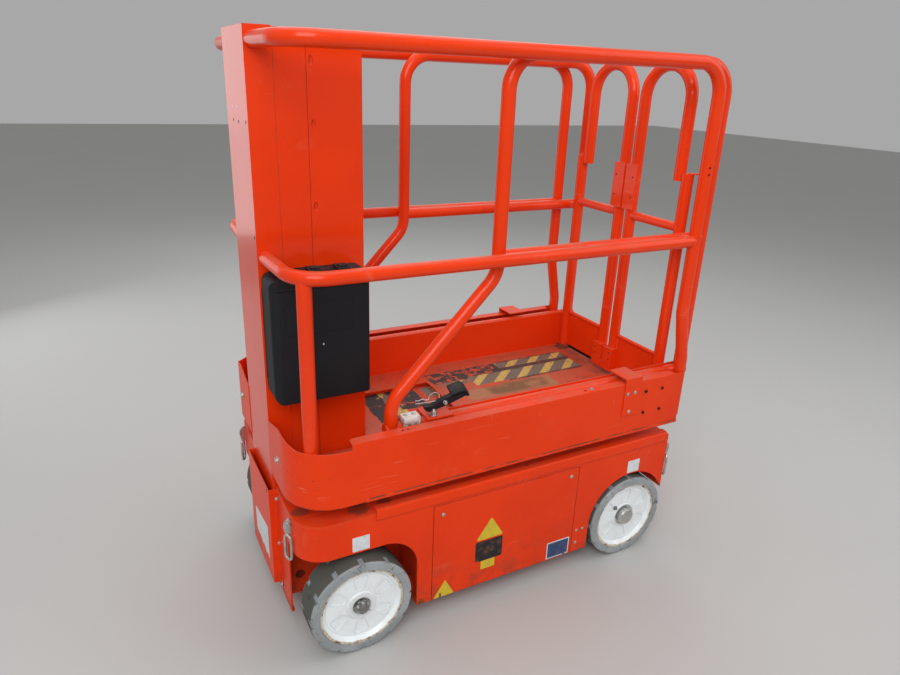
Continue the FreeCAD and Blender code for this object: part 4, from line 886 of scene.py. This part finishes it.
def dress_base():
    face = reach("side_door_near")
    cover_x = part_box("front_pan")[0].x
    tab_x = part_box("chassis_frame")[0].x - 0.002
    bolts = Kit("base_bolts", "base", "zinc")
    # The hole in the front cover is a black disc: painted shade.
    holes = Kit("base_holes", "base", "hole")
    for _, side in SIDES:
        for z, washer in PAN_BOLTS:
            bolts.hex_bolt((tab_x, side * PAN_BOLT_Y, z), FORWARD, 0.0058, washer)
        for x, z in SKIRT_BOLTS:
            bolts.pan_screw((x, side * face, z), (0, side, 0), 0.0055)
    bolts.done()
    holes.disc((cover_x, *PAN_HOLE), FORWARD, 0.004, HOLE_THICK)
    holes.done()
    for side_name, side in SIDES:
        screws = Kit("door_screws_" + side_name, "door_" + side_name, "zinc")
        for x, z in DOOR_SCREWS:
            screws.pan_screw((x, side * face, z), (0, side, 0), 0.0065)
        screws.done()
    for name, body, finish, rounding, layer, outline in PLATES:
        plate = Kit(name, body, finish)
        plate.prism(rounded_outline(outline, rounding), (0, -face - layer * PLATE_THICK, 0), NEAR_FACE,
                    PLATE_THICK / (1 + layer))
        plate.done()
    sticker = Kit("pan_sticker", "base", "label_white")
    sticker.prism([(-y, z) for y, z in TORN_STICKER], (cover_x, 0, 0), FRONT_FACE, PLATE_THICK)
    sticker.done()


# Fixings of the mast, platform and extension.

HOOK_BOLTS = ((0.396, 0.639), (0.425, 0.64), (0.4095, 0.575))
FLANGE_Z = 0.673
FLANGE_BOLT = (0.2619, 0.3618)
FLANGE_HOLES = (-0.3774, -0.3615, 0.2368)
FLANGE_HOLE_Y = 0.3625
POST_HOLES = (1.336, 1.316)
MOUNT_HOLES = ((0.476, 0.557), (0.476, 0.6325), (0.546, 0.557), (0.546, 0.6325))
SKIRT_NUT = (0.217, 0.578)


def smooth_path(points, steps=7):
    """A smooth path through points."""
    points = [Vector(point) for point in points]
    path = []
    for n in range(len(points) - 1):
        before, start = points[max(n - 1, 0)], points[n]
        end, after = points[n + 1], points[min(n + 2, len(points) - 1)]
        for step in range(steps):
            t = step / steps
            path.append(0.5 * (2 * start + (end - before) * t
                               + (2 * before - 5 * start + 4 * end - after) * t * t
                               + (3 * start - before - 3 * end + after) * t ** 3))
    return path + [points[-1]]


# Outlines of (x, z) of the lever's bar and of its pedal's two ends, which lie at two places in Y.
LEVER_NEAR = -0.3265
LEVER_BAR = ((-0.295, 0.708), (-0.2885, 0.693), (-0.2783, 0.6908), (-0.2517, 0.696), (-0.2068, 0.7066),
             (-0.164, 0.72), (-0.172, 0.733), (-0.2117, 0.727), (-0.2492, 0.717), (-0.2702, 0.7065))
LEVER_BAR_WIDE = 0.018
PEDAL_NEAR = ((-0.211, 0.7285), (-0.19, 0.7345), (-0.171, 0.7375), (-0.159, 0.73), (-0.154, 0.717),
              (-0.164, 0.717), (-0.173, 0.731), (-0.211, 0.724))
PEDAL_FAR = ((-0.2066, 0.7401), (-0.1864, 0.7464), (-0.1679, 0.7493), (-0.155, 0.74), (-0.148, 0.723),
             (-0.156, 0.723), (-0.169, 0.743), (-0.2066, 0.735))
PEDAL_FAR_Y = -0.285
# The spring clip's wire lies level: (x, y).
SPRING_CLIP = ((-0.3067, -0.2888), (-0.2975, -0.293), (-0.2853, -0.2884), (-0.2721, -0.2981),
               (-0.26, -0.282), (-0.247, -0.2691), (-0.2345, -0.2624), (-0.2273, -0.2737),
               (-0.2343, -0.2948), (-0.2494, -0.31), (-0.2717, -0.3119), (-0.2887, -0.3103),
               (-0.315, -0.3064))
CLIP_Z = 0.713
CLIP_WIRE = 0.0015
LOCK_BOLT = (-0.269, -0.33)
PIVOT_BOLT = (-0.2328, LEVER_NEAR, 0.7113)
SHOE_SCREWS = (-0.3506, -0.3261)
SHOE_SCREW_Y = 0.319
BOSS = box_outline(-0.282, -0.258, -0.34, -0.32)


def dress_lock():
    plate_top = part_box("lock_plate")[1].z
    shoe_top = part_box("slide_shoes")[1].z
    lever = Kit("lever", "extension", "black")
    lever.prism(LEVER_BAR, (0, LEVER_NEAR + LEVER_BAR_WIDE, 0), NEAR_FACE, LEVER_BAR_WIDE)
    lever.loft([(x, LEVER_NEAR, z) for x, z in PEDAL_NEAR], [(x, PEDAL_FAR_Y, z) for x, z in PEDAL_FAR])
    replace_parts(lever.done(), "lock_lever")
    bolts = Kit("lock_bolts", "extension", "zinc")
    bolts.disc((*LOCK_BOLT, plate_top), UP, 0.0045, 0.022)
    bolts.hex_bolt((*LOCK_BOLT, plate_top + 0.003), UP, 0.0092, 1.3, 0.013)
    bolts.hex_bolt(PIVOT_BOLT, (0, -1, 0), 0.0058, 1.1, 0.006)
    for _, side in SIDES:
        for x in SHOE_SCREWS:
            bolts.pan_screw((x, side * SHOE_SCREW_Y, shoe_top), UP, 0.0062)
    bolts.done()
    boss = Kit("lever_boss", "extension", "orange")
    boss.prism(BOSS, (0, 0, plate_top), LEVEL, 0.003)
    boss.done()
    clip = Kit("spring_clip", "extension", "zinc")
    clip.sweep(smooth_path([(x, y, CLIP_Z) for x, y in SPRING_CLIP]), UP, CLIP_WIRE)
    clip.done()


TIE_PLATE = ((-0.671, 0.423), (-0.676, 0.432), (-0.688, 0.42), (-0.6915, 0.405), (-0.687, 0.385),
             (-0.684, 0.376), (-0.678, 0.373), (-0.671, 0.38))
TIE_PLATE_THICK = 0.007
TIE_RING_HALF = 0.012
TIE_RING_WIRE = 0.0041
TIE_RING_SPAN = (0.314, 0.368)
TIE_RING_AT = -0.6815
TIE_RING_TURN = math.radians(62)
TIE_BOLT = (-0.679, 0.413)
# Of the front and rear links: outward sign, distance from the middle, drop from the front's height.
TIE_ENDS = ((1, 0.283, 0.0), (-1, 0.3605, 0.028))


def tie_ring():
    """The ring's long oval: share of its half width, height."""
    low, high = TIE_RING_SPAN
    arc = [math.pi * step / 8 for step in range(9)]
    return ([(-math.cos(turn), high + TIE_RING_HALF * math.sin(turn)) for turn in arc]
            + [(math.cos(turn), low - TIE_RING_HALF * math.sin(turn)) for turn in arc])


def dress_tie_downs():
    """A pointed plate with a bolt and a hanging ring at each corner of the base."""
    kit = Kit("tie_down_links", "base", "zinc")
    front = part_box("chassis_frame")[0].x
    along = TIE_RING_HALF * math.cos(TIE_RING_TURN)
    out = TIE_RING_HALF * math.sin(TIE_RING_TURN)

    for face, (outward, y, drop) in zip((corner.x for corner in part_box("chassis_frame")), TIE_ENDS):
        for _, side in SIDES:
            def place(x, z, shift=0.0):
                return Vector((face + (x - front) * outward, side * (y + shift), z - drop))

            outline = [tuple(place(x, z).xz) for x, z in TIE_PLATE]
            kit.prism(outline, (0, side * y + TIE_PLATE_THICK / 2, 0), NEAR_FACE, TIE_PLATE_THICK)
            kit.hex_bolt(place(*TIE_BOLT, TIE_PLATE_THICK / 2), (0, side, 0), 0.0055, 1.2, 0.005)
            path = [place(TIE_RING_AT + share * along, z, share * out + 0.004) for share, z in tie_ring()]
            normal = (math.sin(TIE_RING_TURN) * outward, -side * math.cos(TIE_RING_TURN), 0)
            kit.sweep(path, normal, TIE_RING_WIRE, closed=True)
    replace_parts(kit.done(), "tie_downs")


def dress_platform():
    skirt_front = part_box("platform_skirt")[0].x
    skirt_face, hook_face = reach("platform_skirt"), reach("keeper_hooks")
    post_face = reach("side_rail_near") - 0.0006
    screws = Kit("hook_screws", "carriage", "zinc")
    # Holes in the flange, posts and skirt are black discs: painted shade.
    holes = Kit("platform_holes", "carriage", "hole")
    for _, side in SIDES:
        out = (0, side, 0)
        for x, z in HOOK_BOLTS:
            screws.pan_screw((x, side * hook_face, z), out, 0.0062)
        screws.hex_bolt((skirt_front, side * SKIRT_NUT[0], SKIRT_NUT[1]), FORWARD, 0.0075, 1.5)
        screws.hex_bolt((FLANGE_BOLT[0], side * FLANGE_BOLT[1], FLANGE_Z), UP, 0.0045, 1.4)
        for x in FLANGE_HOLES:
            holes.disc((x, side * FLANGE_HOLE_Y, FLANGE_Z), UP, 0.0035, HOLE_THICK)
        for z in POST_HOLES:
            holes.disc((0.6, side * post_face, z), (-0.25, side, 0), 0.0028, 0.0008)
        for x, z in MOUNT_HOLES:
            holes.disc((x, side * skirt_face, z), out, 0.0052, HOLE_THICK)
    screws.done()
    holes.done()


# Round marks on the mast's front: (y, z).
MAST_SPOTS = ((0.048, 1.467), (-0.008, 1.469))
MAST_HOLES = ((0.045, 1.437), (-0.015, 1.436), (-0.1, 1.44), (-0.108, 1.162))


def dress_mast():
    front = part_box("mast_carriage")[0].x
    # The mast's holes are black discs: painted shade.
    for name, finish, places, radius in (("mast_spots", "label_white", MAST_SPOTS, 0.0035),
                                         ("mast_holes", "hole", MAST_HOLES, 0.004)):
        kit = Kit(name, "carriage", finish)
        for y, z in places:
            kit.disc((front, y, z), FORWARD, radius, HOLE_THICK)
        kit.done()


GATE_X = 0.637
# Holes in a gate's stop plates: x, distance from the middle, heights, radius.
GATE_HOLES = ((GATE_X - 0.023, 0.042, (1.195, 1.263), 0.0028),
              (GATE_X - 0.027, 0.04, (0.59, 0.615), 0.0026))
# Lower edge of the black strip under each toe board, which paints the shade under it.
SHADE_STRIP_LOW = 0.5325
FOOT_DEEP = 0.027
FOOT_LOW, FOOT_TOP = 0.545, 0.5705


def dress_gates():
    for side_name, side in SIDES:
        body = "gate_" + side_name
        # Holes in the stop plates are black discs: painted shade.
        holes = Kit("gate_holes_" + side_name, body, "hole")
        for x, y, heights, radius in GATE_HOLES:
            for z in heights:
                holes.disc((x, side * y, z), FORWARD, radius, HOLE_THICK)
        holes.done()
        low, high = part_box("toe_board_" + side_name)
        # A thin black strip hangs under each toe board: painted shade of the gap beneath it.
        shade_strip = Kit("toe_shade_strip_" + side_name, body, "black")
        shade_strip.prism(box_outline(low.y + 0.002, high.y - 0.002, SHADE_STRIP_LOW, low.z), (high.x - 0.001, 0, 0),
                   REAR_FACE, 0.0008)
        shade_strip.done()
        foot = Kit("gate_foot_" + side_name, body, "rails")
        foot.prism(box_outline(GATE_X - FOOT_DEEP, GATE_X, *beside(side, 0.001, 0.0535)),
                   (0, 0, FOOT_LOW), LEVEL, FOOT_TOP - FOOT_LOW)
        foot.done()


CLIP_X = (-0.552, -0.478)
CASE_PANEL = box_outline(-0.64, -0.463, 0.93, 1.013)
CHIP_AT = (-0.5428, 0.895)
CHIP_HALF = (0.0019, 0.0028)


def dress_case():
    """The moulded lid, its two clips, the raised panel and a chip on the document box."""
    low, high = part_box("document_box")
    face = low.y
    # The lid's layers: low and high X, low and high Y, corner radius, foot over the box, thickness.
    layers = [(low.x + 0.006, high.x + 0.003, face - 0.003, -0.132, 0.012, -0.028, 0.004),
              (low.x + 0.03, high.x - 0.012, face + 0.008, -0.14, 0.014, -0.001, 0.007)]
    for x in CLIP_X:
        layers += [(x - 0.016, x + 0.016, face + 0.012, face + 0.06, 0.004, 0.005, 0.009),
                   (x - 0.011, x + 0.011, face + 0.018, face + 0.04, 0.003, 0.013, 0.006)]
    lid = Kit("case_lid", "carriage", "black")
    for *span, rounding, foot, thick in layers:
        lid.prism(rounded_outline(box_outline(*span), rounding), (0, 0, high.z + foot), LEVEL, thick)
    lid.done()
    panel = Kit("case_panel", "carriage", "black")
    panel.prism(rounded_outline(CASE_PANEL, 0.007), (0, face, 0), NEAR_FACE, 0.0012)
    panel.done()
    chip = Kit("case_chip", "carriage", "label_white")
    turns = [math.tau * n / 9 for n in range(9)]
    chip.prism([(CHIP_AT[0] + CHIP_HALF[0] * math.cos(turn), CHIP_AT[1] + CHIP_HALF[1] * math.sin(turn))
                for turn in turns], (0, face, 0), NEAR_FACE, HOLE_THICK)
    chip.done()


def make_camera():
    forward = Vector((math.sin(CAMERA_YAW) * math.cos(CAMERA_PITCH),
                      math.cos(CAMERA_YAW) * math.cos(CAMERA_PITCH), math.sin(CAMERA_PITCH)))
    level = Vector((math.cos(CAMERA_YAW), -math.sin(CAMERA_YAW), 0.0))
    rise = level.cross(forward)
    right = math.cos(CAMERA_ROLL) * level + math.sin(CAMERA_ROLL) * rise
    up = -math.sin(CAMERA_ROLL) * level + math.cos(CAMERA_ROLL) * rise
    data = bpy.data.cameras.new("camera")
    data.sensor_width = SENSOR_WIDTH
    data.lens = FOCAL_PIXELS * SENSOR_WIDTH / IMAGE_WIDTH
    camera = bpy.data.objects.new("camera", data)
    turn = Matrix((right, up, -forward)).transposed().to_4x4()
    camera.matrix_world = Matrix.Translation(CAMERA_AT) @ turn
    bpy.context.collection.objects.link(camera)
    bpy.context.scene.camera = camera


# Soft area lamps, as place, size in metres and power in watts.
LAMPS = (
    ("key", (-2.4, -3.4, 3.8), 3.0, 140),
    ("fill", (3.2, -2.2, 3.0), 3.0, 42),
    ("window", (-1.9, 2.9, 1.25), 1.8, 11),
    ("back", (1.2, 3.2, 3.4), 3.5, 40),
    ("top", (0.0, 0.3, 4.6), 4.0, 56),
)
WORLD_GREY = 0.85
WORLD_STRENGTH = 0.46


def make_stage():
    bpy.ops.mesh.primitive_plane_add(size=40, location=(0, 0, 0))
    floor = bpy.context.object
    floor.name = "floor"
    ground = Finish("pale_floor", FLOOR_GREY, 0.75)
    ground.layer((ground.spots(1.2, 0.35, 0.7, 4.0), 0.15), FLOOR_PATCH)
    floor.data.materials.append(ground.done())
    for name, at, size, power in LAMPS:
        light = bpy.data.lights.new(name, "AREA")
        light.size = size
        light.energy = power
        lamp = bpy.data.objects.new(name, light)
        lamp.location = at
        lamp.visible_camera = False
        lamp.rotation_euler = (Vector((0, 0, 0.6)) - Vector(at)).to_track_quat("-Z", "Y").to_euler()
        bpy.context.collection.objects.link(lamp)
    world = bpy.data.worlds.new("world")
    world.use_nodes = True
    sky = world.node_tree.nodes["Background"]
    sky.inputs["Color"].default_value = (WORLD_GREY, WORLD_GREY, WORLD_GREY, 1)
    sky.inputs["Strength"].default_value = WORLD_STRENGTH
    bpy.context.scene.world = world
    bpy.context.scene.view_settings.view_transform = "Standard"


dress_nodes()
dress_wheels()
dress_base()
dress_tie_downs()
dress_lock()
dress_platform()
dress_mast()
dress_gates()
dress_case()
make_camera()
make_stage()
